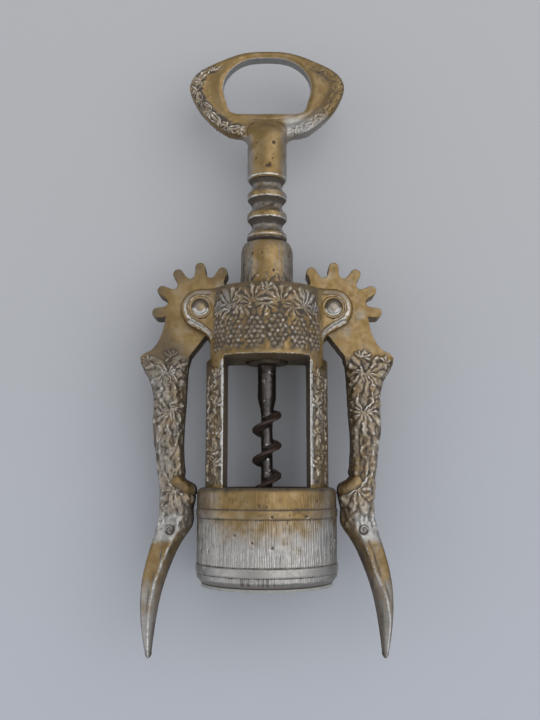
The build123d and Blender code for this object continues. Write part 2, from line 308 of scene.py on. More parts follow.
# places and sizes of the lamps in metres
studio = {"sky": (0.95, 0.97, 1.0), "horizon": 0.80, "zenith": 0.66, "aim": (0, 0.06, 0),
          "lampColour": (1.0, 0.985, 0.96),
          "lamps": (("softbox", (0.55, 0.24, 1.0), 1.45, 7.6), ("leftFill", (-0.95, 0.02, 0.42), 0.9, 1.5))}

bpy.context.scene.view_settings.view_transform = "Standard"
world = bpy.data.worlds.new("studioSky")
bpy.context.scene.world = world
world.use_nodes = True
sky = world.node_tree.nodes["Background"]
sky.inputs["Color"].default_value = (*studio["sky"], 1)
skyNodes, skyLinks = world.node_tree.nodes, world.node_tree.links
upward = skyNodes.new("ShaderNodeSeparateXYZ")
skyLinks.new(skyNodes.new("ShaderNodeTexCoord").outputs["Generated"], upward.inputs["Vector"])
fade = skyNodes.new("ShaderNodeMapRange")
fade.inputs["To Min"].default_value = studio["horizon"]
fade.inputs["To Max"].default_value = studio["zenith"]
skyLinks.new(upward.outputs["Z"], fade.inputs["Value"])
skyLinks.new(fade.outputs["Result"], sky.inputs["Strength"])

for name, place, size, power in studio["lamps"]:
    panel = bpy.data.objects.new(name, bpy.data.lights.new(name, "AREA"))
    bpy.context.scene.collection.objects.link(panel)
    panel.data.size = size
    panel.data.energy = power
    panel.data.color = studio["lampColour"]
    panel.location = place
    panel.rotation_euler = (Vector(studio["aim"]) - panel.location).to_track_quat("-Z", "Y").to_euler()

# table: leans a little with the photograph's view and carries the corkscrew at its lowest point
table = {"tilt": 1.76, "size": 1500.0, "drop": 0.02,
         "far": (0.412, 0.420, 0.440), "near": (0.414, 0.439, 0.494),
         "fade": (-0.04, 0.16), "cloud": (5, 3), "cloudShare": 0.06, "roughness": 0.75, "specular": 0.2}

slope = math.tan(math.radians(table["tilt"]))
lowest = 1e9
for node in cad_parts.values():
    corners = readPoints(node.data)
    lowest = min(lowest, (corners[:, 2] - slope * corners[:, 1]).min())
half = table["size"] / 2
floorMesh = bpy.data.meshes.new("table")
floorMesh.from_pydata([(x * mm, y * mm, (lowest - table["drop"] + slope * y) * mm)
                       for x, y in ((-half, -half), (half, -half), (half, half), (-half, half))],
                      [], [(0, 1, 2, 3)])
floor = linkMesh("table", floorMesh)
floor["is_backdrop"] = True
print("camera, light and table are set")


# materials: each helper adds one node to the finish that is being made

def newFinish(name):
    made = bpy.data.materials.new(name)
    made.use_nodes = True
    nodes = made.node_tree.nodes
    place = nodes.new("ShaderNodeTexCoord").outputs["Object"]
    return SimpleNamespace(made=made, nodes=nodes, links=made.node_tree.links, place=place,
                           sockets=nodes["Principled BSDF"].inputs)


def addNoise(finish, scale, detail):
    noise = finish.nodes.new("ShaderNodeTexNoise")
    for name, number in (("Scale", scale), ("Detail", detail), ("Roughness", 0.55)):
        noise.inputs[name].default_value = number
    finish.links.new(finish.place, noise.inputs["Vector"])
    return noise.outputs["Fac"]


def addRange(finish, value, fromLow, fromHigh, toLow=0.0, toHigh=1.0):
    spread = finish.nodes.new("ShaderNodeMapRange")
    spread.interpolation_type = "SMOOTHSTEP"
    finish.links.new(value, spread.inputs["Value"])
    limits = (("From Min", fromLow), ("From Max", fromHigh), ("To Min", toLow), ("To Max", toHigh))
    for name, number in limits:
        spread.inputs[name].default_value = number
    return spread.outputs["Result"]


def addMath(finish, kind, first, second, clamp=False):
    step = finish.nodes.new("ShaderNodeMath")
    step.operation = kind
    step.use_clamp = clamp
    for socket, value in zip(step.inputs, (first, second)):
        if isinstance(value, (int, float)):
            socket.default_value = value
        else:
            finish.links.new(value, socket)
    return step.outputs["Value"]


def addMix(finish, share, first, second):
    mix = finish.nodes.new("ShaderNodeMix")
    mix.data_type = "RGBA"
    finish.links.new(share, mix.inputs["Factor"])
    for socket, value in ((mix.inputs["A"], first), (mix.inputs["B"], second)):
        if isinstance(value, tuple):
            socket.default_value = (*value, 1)
        else:
            finish.links.new(value, socket)
    return mix.outputs["Result"]


def addMark(finish, name):
    mark = finish.nodes.new("ShaderNodeAttribute")
    mark.attribute_name = name
    return mark.outputs["Fac"]


def addBump(finish, scale, detail, strength, distance):
    bump = finish.nodes.new("ShaderNodeBump")
    bump.inputs["Strength"].default_value = strength
    bump.inputs["Distance"].default_value = distance
    finish.links.new(addNoise(finish, scale, detail), bump.inputs["Height"])
    finish.links.new(bump.outputs["Normal"], finish.sockets["Normal"])


# plated zinc: gold-toned where the plating is left, grey and bright where it is worn and where a highlight is
# painted, dark brown where grime and painted shade lie
platedZinc = {"gold": (0.268, 0.189, 0.092), "goldDeep": (0.212, 0.142, 0.061), "grey": (0.325, 0.316, 0.304),
              "bright": (0.56, 0.55, 0.53), "grimeShadeTone": (0.055, 0.042, 0.031),
              "patch": (260, 5), "fleck": (1500, 3), "goldFade": (0.35, 0.68), "giltFade": (0.02, 0.98),
              "fleckFade": (0.32, 0.62, 0.35), "wearHighlightFade": (0.25, 0.85), "speckFade": (0.66, 0.74),
              "speckDirt": 0.35, "grimeShadeFade": (0.12, 0.85), "metallic": (0.1, 0.9, 1.0, 0.25),
              "roughGrain": (700, 4), "roughness": (0.3, 0.7, 0.36, 0.56), "grimeShadeRough": 0.2,
              "bump": (2200, 3, 0.25, 0.00012)}


def platedMetal(name, tone):
    finish = newFinish(name)
    patch = addNoise(finish, *tone["patch"])
    fleck = addNoise(finish, *tone["fleck"])
    goldTone = addMix(finish, addRange(finish, patch, *tone["goldFade"]), tone["gold"], tone["goldDeep"])
    loss = addMath(finish, "ADD", addMark(finish, "gilt"), addMath(finish, "SUBTRACT", patch, 0.5))
    metal = addMix(finish, addRange(finish, loss, *tone["giltFade"]), tone["grey"], goldTone)
    wearAndHighlight = addMath(finish, "MULTIPLY", addMark(finish, "wearAndHighlight"), addRange(finish, fleck, *tone["fleckFade"]))
    metal = addMix(finish, addRange(finish, wearAndHighlight, *tone["wearHighlightFade"]), metal, tone["bright"])
    speck = addMath(finish, "MULTIPLY", addRange(finish, fleck, *tone["speckFade"]), tone["speckDirt"])
    grimeAndShade = addMath(finish, "ADD", addMark(finish, "hollow"), speck, True)
    # one dark tone stands for both grime and painted shade
    grimeShadeTone = addRange(finish, grimeAndShade, *tone["grimeShadeFade"])
    finish.links.new(addMix(finish, grimeShadeTone, metal, tone["grimeShadeTone"]), finish.sockets["Base Color"])
    finish.links.new(addRange(finish, grimeShadeTone, *tone["metallic"]), finish.sockets["Metallic"])
    rough = addRange(finish, addNoise(finish, *tone["roughGrain"]), *tone["roughness"])
    dull = addMath(finish, "MULTIPLY", grimeShadeTone, tone["grimeShadeRough"])
    finish.links.new(addMath(finish, "ADD", rough, dull), finish.sockets["Roughness"])
    addBump(finish, *tone["bump"])
    return finish.made


# browned steel of the worm with painted glints of bright steel, rusty where the mark says so
wormSteel = {"steel": (0.085, 0.078, 0.076), "rust": (0.050, 0.029, 0.022), "glint": (0.55, 0.55, 0.56),
             "patch": (420, 5), "patchMean": 0.55, "rustFade": (0.15, 0.65), "glintGrain": (900, 3),
             "glintFade": (0.64, 0.72), "metallic": (0.9, 0.2), "roughness": (0.34, 0.66),
             "bump": (1800, 4, 0.35, 0.00015)}


def wornSteel(name, tone):
    finish = newFinish(name)
    patch = addMath(finish, "SUBTRACT", addNoise(finish, *tone["patch"]), tone["patchMean"])
    rust = addMath(finish, "ADD", addMark(finish, "rust"), patch, True)
    share = addRange(finish, rust, *tone["rustFade"])
    # painted glints: specks of bright steel where the noise runs high
    glint = addRange(finish, addNoise(finish, *tone["glintGrain"]), *tone["glintFade"])
    steelAndGlint = addMix(finish, glint, tone["steel"], tone["glint"])
    finish.links.new(addMix(finish, share, steelAndGlint, tone["rust"]), finish.sockets["Base Color"])
    finish.links.new(addRange(finish, share, 0.0, 1.0, *tone["metallic"]), finish.sockets["Metallic"])
    finish.links.new(addRange(finish, share, 0.0, 1.0, *tone["roughness"]), finish.sockets["Roughness"])
    addBump(finish, *tone["bump"])
    return finish.made


def paleTable(name, tone):
    finish = newFinish(name)
    split = finish.nodes.new("ShaderNodeSeparateXYZ")
    finish.links.new(finish.place, split.inputs["Vector"])
    cloud = addMath(finish, "MULTIPLY", addNoise(finish, *tone["cloud"]), tone["cloudShare"])
    share = addRange(finish, addMath(finish, "ADD", split.outputs["Y"], cloud), *tone["fade"])
    finish.links.new(addMix(finish, share, tone["near"], tone["far"]), finish.sockets["Base Color"])
    finish.sockets["Roughness"].default_value = tone["roughness"]
    finish.sockets["Specular IOR Level"].default_value = tone["specular"]
    return finish.made


seatTone = {"colour": (0.27, 0.28, 0.265), "stain": (0.22, 0.225, 0.21), "stainGrain": (350, 5),
            "stainFade": (0.35, 0.7), "roughness": 0.6, "bump": (1500, 3, 0.2, 0.0001)}


def matPlastic(name, tone):
    finish = newFinish(name)
    stain = addRange(finish, addNoise(finish, *tone["stainGrain"]), *tone["stainFade"])
    finish.links.new(addMix(finish, stain, tone["colour"], tone["stain"]), finish.sockets["Base Color"])
    finish.sockets["Roughness"].default_value = tone["roughness"]
    addBump(finish, *tone["bump"])
    return finish.made


floorMesh.materials.append(paleTable("paleTable", table))
zinc = platedMetal("platedZinc", platedZinc)
print("materials are made")


def settle(piece, body, material, node):
    piece.data.materials.append(material)
    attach(piece, body)
    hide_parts(node)
    print(piece.name, len(piece.data.polygons), "faces")


# bell: turned like a barrel, with wood grain between two hoops
bellShape = {"radius": 19.75, "height": 27.0, "foot": 0.8, "footRise": 1.7, "footRadius": 18.25,
             "shoulder": 1.6, "bore": 17.45, "throat": 11.5, "plate": 2.6, "around": 880,
             "step": 0.24, "innerStep": 1.2,
             "hoops": ((5.0, 1.0, 0.45), (20.0, 0.45, 0.30)),  # height, share of the line above and below
             "hoopRise": 0.3, "hoopHalf": 1.05, "lineOff": 0.15, "lineHalf": (0.32, 0.05), "lineDepth": 0.17,
             "grainDepth": 0.17, "grainSizes": (0.46, 0.30), "grainStretch": 9, "grainShare": 0.80,
             "grainTop": 0.40, "reeds": 196, "reedShare": 0.30, "reedSway": 4.0, "reedGrain": (2.0, 2.0, 0.7),
             "roughness": 0.05, "pits": 60, "pitReach": 19.9, "pitSize": (0.25, 0.6), "pitScatter": 1.0,
             "pitHeights": (20.0, 20.2, 15.0, 5.0, 10.0, 23.5, 12.0),
             "giltFrom": (8.0, 22.5), "giltPatch": 1.8, "giltMost": 0.95, "sideLoss": 0.40,
             "sideFrom": (9, 18), "paleHeight": (15, 10), "paleFoot": (3.6, 4.4), "paleShine": 0.45,
             "topBand": (15, 19), "lowBand": (4.2, 3.0), "blotchBand": (8, 12), "footBand": (2.7, 1.9),
             "lipBand": (1.5, 1.1), "rimDown": (1.1, 0.5), "streakBand": (1.2, 2.0, 3.4, 4.0),
             "streakMiddle": -2, "streakSide": (10, 5), "polishBand": (1.2, 2.4),
             "boreDarkening": 0.8, "deep": 0.5,
             "stain": {"top": 0.20, "line": 0.38, "pit": 0.9, "grain": 0.28, "low": 0.12, "streak": 0.32,
                       "blotch": 0.20, "foot": 0.30, "lip": 0.3, "rim": 0.42}}


def bellOutline(shape):
    radius, height, shoulder = shape["radius"], shape["height"], shape["shoulder"]
    outer = [(shape["bore"], shape["foot"]), (shape["footRadius"], shape["foot"]),
             (radius, shape["foot"] + shape["footRise"]), (radius, height - shoulder)]
    for turn in range(15, 91, 15):
        angle = math.radians(turn)
        outer.append((radius - shoulder * (1 - math.cos(angle)), height - shoulder * (1 - math.sin(angle))))
    outer.append((shape["throat"], height))
    inner = [(shape["throat"], height - shape["plate"]), (shape["bore"], height - shape["plate"]),
             (shape["bore"], shape["foot"])]
    points = []
    corners = outer + inner
    for i, (a, b) in enumerate(zip(corners, corners[1:])):
        fine = shape["step"] if i < len(outer) else shape["innerStep"]
        count = max(1, round(math.dist(a, b) / fine))
        points += [(a[0] + (b[0] - a[0]) * k / count, a[1] + (b[1] - a[1]) * k / count) for k in range(count)]
    return np.array(points)


def turned(name, outline, around):
    count = len(outline)
    angle = np.arange(around) * 2 * np.pi / around
    points = np.stack([np.outer(np.sin(angle), outline[:, 0]), np.tile(outline[:, 1], (around, 1)),
                       np.outer(np.cos(angle), outline[:, 0])], axis=-1).reshape(-1, 3)
    faces = []
    for i in range(around):
        near, far = i * count, (i + 1) % around * count
        for j in range(count):
            k = (j + 1) % count
            faces.append((near + j, far + j, far + k, near + k))
    mesh = bpy.data.meshes.new(name)
    mesh.from_pydata((points * mm).tolist(), [], faces)
    mesh.update()
    return linkMesh(name, mesh)


def bellHoops(y, shape):
    onHoop, lines, half = np.zeros(len(y)), np.zeros(len(y)), shape["hoopHalf"]
    for middle, above, below in shape["hoops"]:
        onHoop = np.maximum(onHoop, ramp(half + 0.25, half - 0.05, np.abs(y - middle)))
        off = half + shape["lineOff"]
        for height, share in ((middle + off, above), (middle - off, below)):
            lines = np.maximum(lines, share * ramp(*shape["lineHalf"], np.abs(y - height)))
    return onHoop, lines


def bellPits(shape):
    spots = np.random.default_rng(11)
    count, reach = shape["pits"], shape["pitReach"]
    turns = spots.uniform(-np.pi, np.pi, count)
    heights = spots.choice(shape["pitHeights"], count) + spots.normal(0, shape["pitScatter"], count)
    return [(reach * math.sin(turn), height, reach * math.cos(turn), spots.uniform(*shape["pitSize"]))
            for turn, height in zip(turns, heights)]


def bellGrain(along, angle, shape):
    coarse, fine = shape["grainSizes"]
    grain = 0.5 * softNoise(along, coarse, 1) + 0.5 * softNoise(along + 9, fine, 2)
    reeds = np.sin(angle * shape["reeds"] + shape["reedSway"] * softNoise(along, shape["reedGrain"], 7))
    return np.clip(shape["grainShare"] * grain + shape["reedShare"] * reeds, -1, shape["grainTop"])


# hoops, staves and grain, with the share of the skin that each takes
def bellRelief(points, shape):
    x, y, z = points.T
    r, angle = np.hypot(x, z), np.arctan2(x, z)
    bore, height = shape["bore"], shape["height"]
    stretched = y / shape["radius"] / shape["grainStretch"]
    along = np.column_stack([np.sin(angle), np.cos(angle), stretched]) * shape["radius"]
    onHoop, lines = bellHoops(y, shape)
    low, high = shape["hoops"][0][0], shape["hoops"][1][0]
    staves = (1 - onHoop) * ramp(low - shape["hoopHalf"] - 2.5, low, y)
    staves *= 0.25 + 0.75 * ramp(high, high - 4.5, y)
    outside = ramp(bore + 0.4, bore + 1.0, r) * ramp(height, height - 0.8, y)
    return SimpleNamespace(r=r, along=along, grain=bellGrain(along, angle, shape), onHoop=onHoop, lines=lines,
                           staves=staves, outside=outside)


def wearBell(piece, points, depth, on, shape):
    x, y, height, stain = points[:, 0], points[:, 1], shape["height"], shape["stain"]
    blotch = softNoise(points, 2.6, 4) + 0.6 * softNoise(points, 0.9, 6)
    ragged = y + 0.3 * blotch
    pale = ramp(*shape["paleHeight"], y) * (on.onHoop < 0.5) * (0.4 + 0.6 * ramp(*shape["paleFoot"], y))
    gilt = ramp(*shape["giltFrom"], y + shape["giltPatch"] * blotch) * shape["giltMost"]
    gilt -= shape["sideLoss"] * ramp(*shape["sideFrom"], np.abs(x))
    streak = ramp(-0.10, 0.35, softNoise(on.along, 0.42, 5)) * within(y, *shape["streakBand"])
    streak *= ramp(*shape["streakSide"], np.abs(x - shape["streakMiddle"]))
    grimeAndShade = stain["top"] * ramp(*shape["topBand"], y) + stain["line"] * on.lines * on.outside
    grimeAndShade -= stain["pit"] * depth
    grimeAndShade -= stain["grain"] * np.clip(on.grain + 0.15, -1, 0) * on.staves
    grimeAndShade += stain["low"] * ramp(*shape["lowBand"], y) + stain["streak"] * streak
    grimeAndShade += stain["blotch"] * ramp(0.25, 0.7, blotch) * ramp(*shape["blotchBand"], y)
    grimeAndShade += stain["foot"] * ramp(*shape["footBand"], ragged) + stain["lip"] * ramp(*shape["lipBand"], y)
    rimStart, rimFull = shape["rimDown"]
    grimeAndShade += stain["rim"] * ramp(height - rimStart, height - rimFull, ragged)
    # the inside of the bore is darkened all over
    grimeAndShade = np.where(on.r > shape["bore"] - 0.2, grimeAndShade, shape["boreDarkening"])
    shine = shape["paleShine"] * pale * ramp(-0.2, 0.3, on.grain)
    markWear(piece, gilt, grimeAndShade, deep=shape["deep"], polish=ramp(*shape["polishBand"], y), shine=shine)


def makeBell(shape):
    piece = turned("bell", bellOutline(shape), shape["around"])
    points = relax(readPoints(piece.data), readEdges(piece.data), 5)
    on = bellRelief(points, shape)
    push = shape["hoopRise"] * on.onHoop - shape["lineDepth"] * on.lines
    push += shape["grainDepth"] * on.grain * (0.2 + 0.8 * on.staves)
    push += shape["roughness"] * softNoise(points, 1.4, 3)
    push = np.minimum(push, shape["hoopRise"] - 0.01)
    points[:, [0, 2]] *= (1 + on.outside * push / np.maximum(on.r, 1))[:, None]
    depth = pits(points, bellPits(shape))
    points[:, [0, 2]] *= (1 + on.outside * depth / np.maximum(on.r, 1))[:, None]
    writePoints(piece.data, points)
    wearBell(piece, points, depth, on, shape)
    settle(piece, "frame", zinc, "frame")


makeBell(bellShape)

# upper casting: legs, head and collar, cut off the CAD frame above the bell and let into it
# a leaf is its hub (across, height), turn, reach, half angle, lobes and, where they differ, rise
castShape = {"cut": 27.02, "sink": 1.3, "voxel": 0.266, "wander": 0.62, "rough": ((0.04, 0.9), (0.03, 2.4)),
             "headRadius": 18.2, "headLow": 58.9, "headTop": 83.6, "headCrown": 80, "headSkin": (16.6, 17.4),
             "headSide": (15.4, 14.2), "rimMiddle": 63.2, "rimHalf": 0.65, "rimRise": 0.30,
             "rimSide": (12.6, 11.6), "fieldLow": (63.8, 64.5), "headRise": 0.66, "groundDrop": 0.20,
             "groundLumps": 0.20, "leafRise": 0.70,
             "leaves": ((-10.8, 76.4, -22, 6.4, 125, 9), (-3.7, 77.4, -8, 5.8, 125, 9),
                        (3.5, 77.2, 8, 5.8, 125, 9), (10.6, 76.2, 22, 6.4, 125, 9),
                        (-15.2, 75.8, -50, 3.2, 120, 7),
                        (-7.3, 76.4, 185, 4.0, 110, 5), (-0.1, 76.8, 180, 4.2, 110, 5),
                        (7.2, 76.2, 175, 4.0, 110, 5), (15.2, 75.6, 50, 3.2, 120, 7),
                        (-0.1, 81.2, 0, 2.8, 120, 5)),
             "bunches": ((-9.6, 73.2), (-3.4, 72.9), (3.0, 73.3), (9.5, 72.8), (-15.4, 72.6), (15.6, 72.4)),
             "bunchRows": (2, 3, 4, 3, 4, 3, 2, 1), "grape": 0.76, "grapeRise": 0.9, "bunchCalm": 0.7,
             "legRadius": 17.6, "legSkin": (16.9, 17.3), "legSpan": (27.2, 28.5, 59.5, 60.5),
             "legStrip": (14.1, 14.7, 25.4, 26.6), "legMiddle": 17.6, "legTop": 57.6, "legStep": 4.2,
             "legCount": 7, "legSway": 1.3, "legTurn": 50, "legLeaf": (3.5, 150, 7, 0.95), "legLumps": 0.28,
             "sideOff": (4.2, -1.6), "sideLeaf": (90, 2.8, 120, 5, 0.85), "legRise": 0.62, "legDrop": 0.30,
             "collarRadius": 7.7, "collarSkin": (8.8, 8.0), "collarBore": 6.8, "collarRise": 0.7,
             "footLeaves": ((-4.2, 82.8, -12), (4.2, 82.8, 12), (0, 82.4, 0),
                            (-8.5, 82.6, -10), (8.5, 82.6, 10)),
             "footLeaf": (5.6, 80, 5, 0.85), "pits": 40, "pitSpan": (86, 96), "pitSize": (0.2, 0.6),
             "pivot": (18.92, 77.6), "ear": 5.8, "earFace": 9.0, "earTurns": (90, -59, -9),
             "brow": ((9.0, 83.5), (14.5, 83.3)), "bevel": 1.9, "bevelDrop": 0.9, "lineDrop": 0.16,
             "flank": ((21.99, 72.68), (19.6, 71.3), (17.8, 69.9), (16.6, 68.0), (15.95, 66.4), (15.9, 62.6)),
             "lip": (61.5, 62.4, 64.4, 65.4), "deep": 0.40, "polish": 0.75, "headPolish": 0.15,
             "headGain": 0.40, "lipSide": (14.5, 13.5), "flankSide": (15.2, 15.9), "flankTop": 74,
             "lineLow": 62.4, "lineSide": 13.5, "sillSide": (12.95, 12.6), "sillInner": 11,
             "sillTop": (62.5, 61.5), "sillLow": 28, "silverSide": (7, 13), "silverUp": (74, 77),
             "underSpan": (58, 66), "innerReach": 14, "gapsUp": (73.5, 75.0), "shineDown": (82, 76),
             "loss": {"head": 0.25, "silver": 0.45, "leg": 0.30, "sill": 0.5, "collar": 0.52, "scratch": 0.30,
                      "edge": 0.8},
             # the under stain is painted shade on the head's underside
             "stain": {"under": 0.48, "inner": 0.55, "line": 0.55, "legGap": 0.25, "leg": 0.14, "head": 0.29,
                       # the collar stain is painted shade on the collar's sides
                       "leafGap": 0.24, "bunch": 0.14, "patch": 0.15, "collar": 0.34, "collarPatch": 0.15,
                       "scratch": 0.30, "foot": 0.22, "edge": 0.5},
             "shine": {"edge": 1.3, "sill": 0.8}}


def cutFrame(shape):
    cut = bmesh.new()
    cut.from_mesh(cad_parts["frame"].data)
    bmesh.ops.remove_doubles(cut, verts=cut.verts, dist=0.001 * mm)
    level = shape["cut"] * mm
    everything = cut.verts[:] + cut.edges[:] + cut.faces[:]
    bmesh.ops.bisect_plane(cut, geom=everything, dist=1e-7, plane_co=(0, level, 0), plane_no=(0, 1, 0),
                           clear_inner=True)
    bmesh.ops.holes_fill(cut, edges=[e for e in cut.edges if e.is_boundary], sides=0)
    for vert in cut.verts:
        if vert.co.y < level + 0.005 * mm:
            vert.co.y -= shape["sink"] * mm
    bmesh.ops.triangulate(cut, faces=cut.faces[:])
    mesh = bpy.data.meshes.new("castCut")
    cut.to_mesh(mesh)
    cut.free()
    return mesh


def castPlaces(points, normals, shape):
    x, y, z = points.T
    r = np.hypot(x, z)
    aside, along = drift(points, shape["wander"], 90)
    return SimpleNamespace(x=x, y=y, z=z, r=r, wide=np.abs(x), around=np.arctan2(x, np.abs(z)), aside=aside,
                           along=along, h=y + along, up=normals[:, 1], front=np.abs(normals[:, 2]),
                           outward=(normals[:, 0] * x + normals[:, 2] * z) / np.maximum(r, 0.1),
                           lumps=softNoise(points, 1.1, 34))


# each relief returns its push and leaves the fields that the wear reads in at
# head front and back: leaves over bunches of grapes, with a smooth rim below
def headRelief(at, shape):
    onHead = ramp(0.50, 0.75, at.outward + 0.4 * at.up * (at.y > shape["headCrown"]))
    onHead = onHead * ramp(*shape["headSkin"], at.r) * ramp(*shape["headSide"], at.wide)
    onHead *= (at.y > shape["headLow"]) * (at.y < shape["headTop"] + 0.2)
    u, calm = shape["headRadius"] * at.around + at.aside, shape["bunchCalm"]
    bunch = np.zeros(len(u))
    for seed, place in enumerate(shape["bunches"]):
        heap = grapes(u - calm * at.aside, at.h - calm * at.along, place, shape["bunchRows"],
                      shape["grape"], seed + 20)
        bunch = np.maximum(bunch, shape["grapeRise"] * heap)
    relief = np.maximum(bunch, leafField(u, at.h, [(*leaf, shape["leafRise"]) for leaf in shape["leaves"]]))
    rim = np.sqrt(np.clip(1 - ((at.y - shape["rimMiddle"]) / shape["rimHalf"]) ** 2, 0, 1))
    rim *= ramp(*shape["rimSide"], at.wide)
    field = ramp(*shape["fieldLow"], at.y)
    at.onHead, at.bunch, at.headLeaf, at.ornament = onHead, bunch, relief, onHead * field
    ground = shape["headRise"] * relief - shape["groundDrop"] + shape["groundLumps"] * at.lumps
    return onHead * (ground * field + shape["rimRise"] * rim)


# legs: leaves that turn left and right by turns
def legRelief(at, shape):
    v = shape["legRadius"] * np.arctan2(at.wide, np.abs(at.z)) + at.aside
    onLeg = ramp(0.50, 0.80, at.outward) * ramp(*shape["legSkin"], at.r) * within(at.y, *shape["legSpan"])
    middle, leaves = shape["legMiddle"], []
    for i in range(shape["legCount"]):
        way, height = (-1) ** i, shape["legTop"] - shape["legStep"] * i
        leaves.append((middle - shape["legSway"] * way, height, shape["legTurn"] * way, *shape["legLeaf"]))
        leaves.append((middle + shape["sideOff"][0], height + shape["sideOff"][1], *shape["sideLeaf"]))
    at.onLeg, at.vine, at.strip = onLeg, leafField(v, at.h, leaves), onLeg * within(v, *shape["legStrip"])
    return at.strip * (shape["legRise"] * at.vine - shape["legDrop"] + shape["legLumps"] * at.lumps)


# collar: leaf shapes at its foot
def collarRelief(at, shape):
    onCollar = ramp(0.50, 0.80, at.outward) * ramp(*shape["collarSkin"], at.r)
    at.onCollar = onCollar * (at.y > shape["headTop"] - 0.5) * (at.r > shape["collarBore"])
    leaves = [(*leaf, *shape["footLeaf"]) for leaf in shape["footLeaves"]]
    at.foot = leafField(shape["collarRadius"] * at.around + at.aside, at.h, leaves)
    return at.onCollar * shape["collarRise"] * at.foot


# ears: a worn bevel outside a dark line that runs round the ear and down the head's flank
def earRelief(at, shape):
    px, py = shape["pivot"]
    turns = [math.radians(turn) for turn in range(*shape["earTurns"])]
    ear = [(px + shape["ear"] * math.cos(turn), py + shape["ear"] * math.sin(turn)) for turn in turns]
    gap = pathGap(at.wide, at.y, np.array([*shape["brow"], *ear, *shape["flank"]]))
    flat = ramp(0.75, 0.92, at.front) * ramp(shape["earFace"] - 1.4, shape["earFace"] - 0.7, np.abs(at.z))
    flank = ramp(*shape["flankSide"], at.wide) * (at.y < shape["flankTop"]) * ramp(0.4, 0.7, at.front)
    flat = np.maximum(flat, flank) * (at.y > shape["lineLow"]) * (at.wide > shape["lineSide"])
    bevel = shape["bevel"]
    at.line = flat * ramp(0.42, 0.08, np.abs(gap - bevel - 0.15))
    at.edge = flat * ramp(bevel + 0.1, bevel - 0.7, gap)
    return -shape["lineDrop"] * at.line - shape["bevelDrop"] * flat * ramp(bevel, 0.2, gap)


def collarPits(shape):
    spots = np.random.default_rng(12)
    count, reach = shape["pits"], shape["collarRadius"]
    draws = [spots.uniform(*span, count) for span in ((-np.pi, np.pi), shape["pitSpan"], shape["pitSize"])]
    return [(reach * math.sin(turn), height, reach * math.cos(turn), size)
            for turn, height, size in zip(*draws)]


def wearCasting(piece, points, depth, at, shape):
    loss, stain, shine, turn = shape["loss"], shape["stain"], shape["shine"], np.abs(at.around)
    sill = ramp(0.45, 0.75, at.outward) * ramp(*shape["sillSide"], at.wide) * (at.wide > shape["sillInner"])
    sill *= ramp(*shape["sillTop"], at.y) * (at.y > shape["sillLow"])
    silver = ramp(*shape["silverSide"], at.wide) * ramp(*shape["silverUp"], at.y)
    scratch = softNoise(points, (0.45, 7.0, 0.45), 37)
    gilt = 0.95 - at.onHead * (loss["head"] + loss["silver"] * silver) * ramp(0.1, 0.5, at.headLeaf)
    gilt -= loss["leg"] * at.onLeg + loss["sill"] * sill + loss["edge"] * at.edge
    gilt += 0.12 * softNoise(points, 4.0, 33)
    gilt -= at.onCollar * (loss["collar"] * ramp(0.25, 0.85, turn) + loss["scratch"] * scratch)
    low, high = shape["underSpan"]
    # painted shade: faces of the head that look down, towards the bell, are darkened as they lie in shadow
    under = ramp(-0.3, -0.7, at.up) * (at.y > low) * (at.y < high)
    grimeAndShade = under * (stain["under"] + 0.25 * softNoise(points, 1.8, 36)) - depth + stain["line"] * at.line
    grimeAndShade += stain["inner"] * ramp(0.0, -0.4, at.outward) * (at.r < shape["innerReach"])
    grimeAndShade += at.strip * (stain["leg"] + stain["legGap"] * ramp(0.2, 0.0, at.vine)) - stain["edge"] * at.edge
    gaps = ramp(0.22, 0.04, at.headLeaf) * ramp(*shape["gapsUp"], at.y)
    headDirt = stain["head"] + stain["leafGap"] * gaps + stain["bunch"] * ramp(0.05, 0.35, at.bunch)
    grimeAndShade += at.ornament * (headDirt + stain["patch"] * softNoise(points, 1.6, 35))
    # painted shade: the collar is darkened towards its sides as they turn from the front; patches, scratches
    # and the leaf feet add grime
    collarGrimeAndShade = stain["collar"] * ramp(0.35, 0.9, turn) + stain["collarPatch"] * ramp(0.2, 0.6, at.lumps)
    collarGrimeAndShade += stain["scratch"] * ramp(0.05, 0.6, scratch) + stain["foot"] * ramp(0.02, 0.2, at.foot)
    grimeAndShade += at.onCollar * collarGrimeAndShade
    bright = shine["edge"] * at.edge * ramp(*shape["shineDown"], at.y) + shine["sill"] * sill
    polish = shape["polish"] + shape["headPolish"] * at.ornament
    gain = 1 + shape["headGain"] * at.ornament
    markWear(piece, gilt, grimeAndShade, deep=shape["deep"], polish=polish, shine=bright, gain=gain)


def makeCasting(shape):
    piece, edges, points = openSkin("casting", cutFrame(shape), shape["voxel"], 10)
    points = melt(points, edges, 2)
    normals = shapedNormals(piece, points)
    at = castPlaces(points, normals, shape)
    push = roughSkin(points, shape["rough"], 31)
    for relief in (headRelief, legRelief, collarRelief, earRelief):
        push = push + relief(at, shape)
    points = points + normals * push[:, None]
    depth = pits(points, collarPits(shape))
    points = relax(points + normals * depth[:, None], edges, 1)
    lip = within(at.y, *shape["lip"]) * ramp(*shape["lipSide"], at.wide)
    points = melt(points, edges, 10, np.maximum(lip, at.edge))
    writePoints(piece.data, points)
    wearCasting(piece, points, depth, at, shape)
    settle(piece, "frame", zinc, "frame")


makeCasting(castShape)

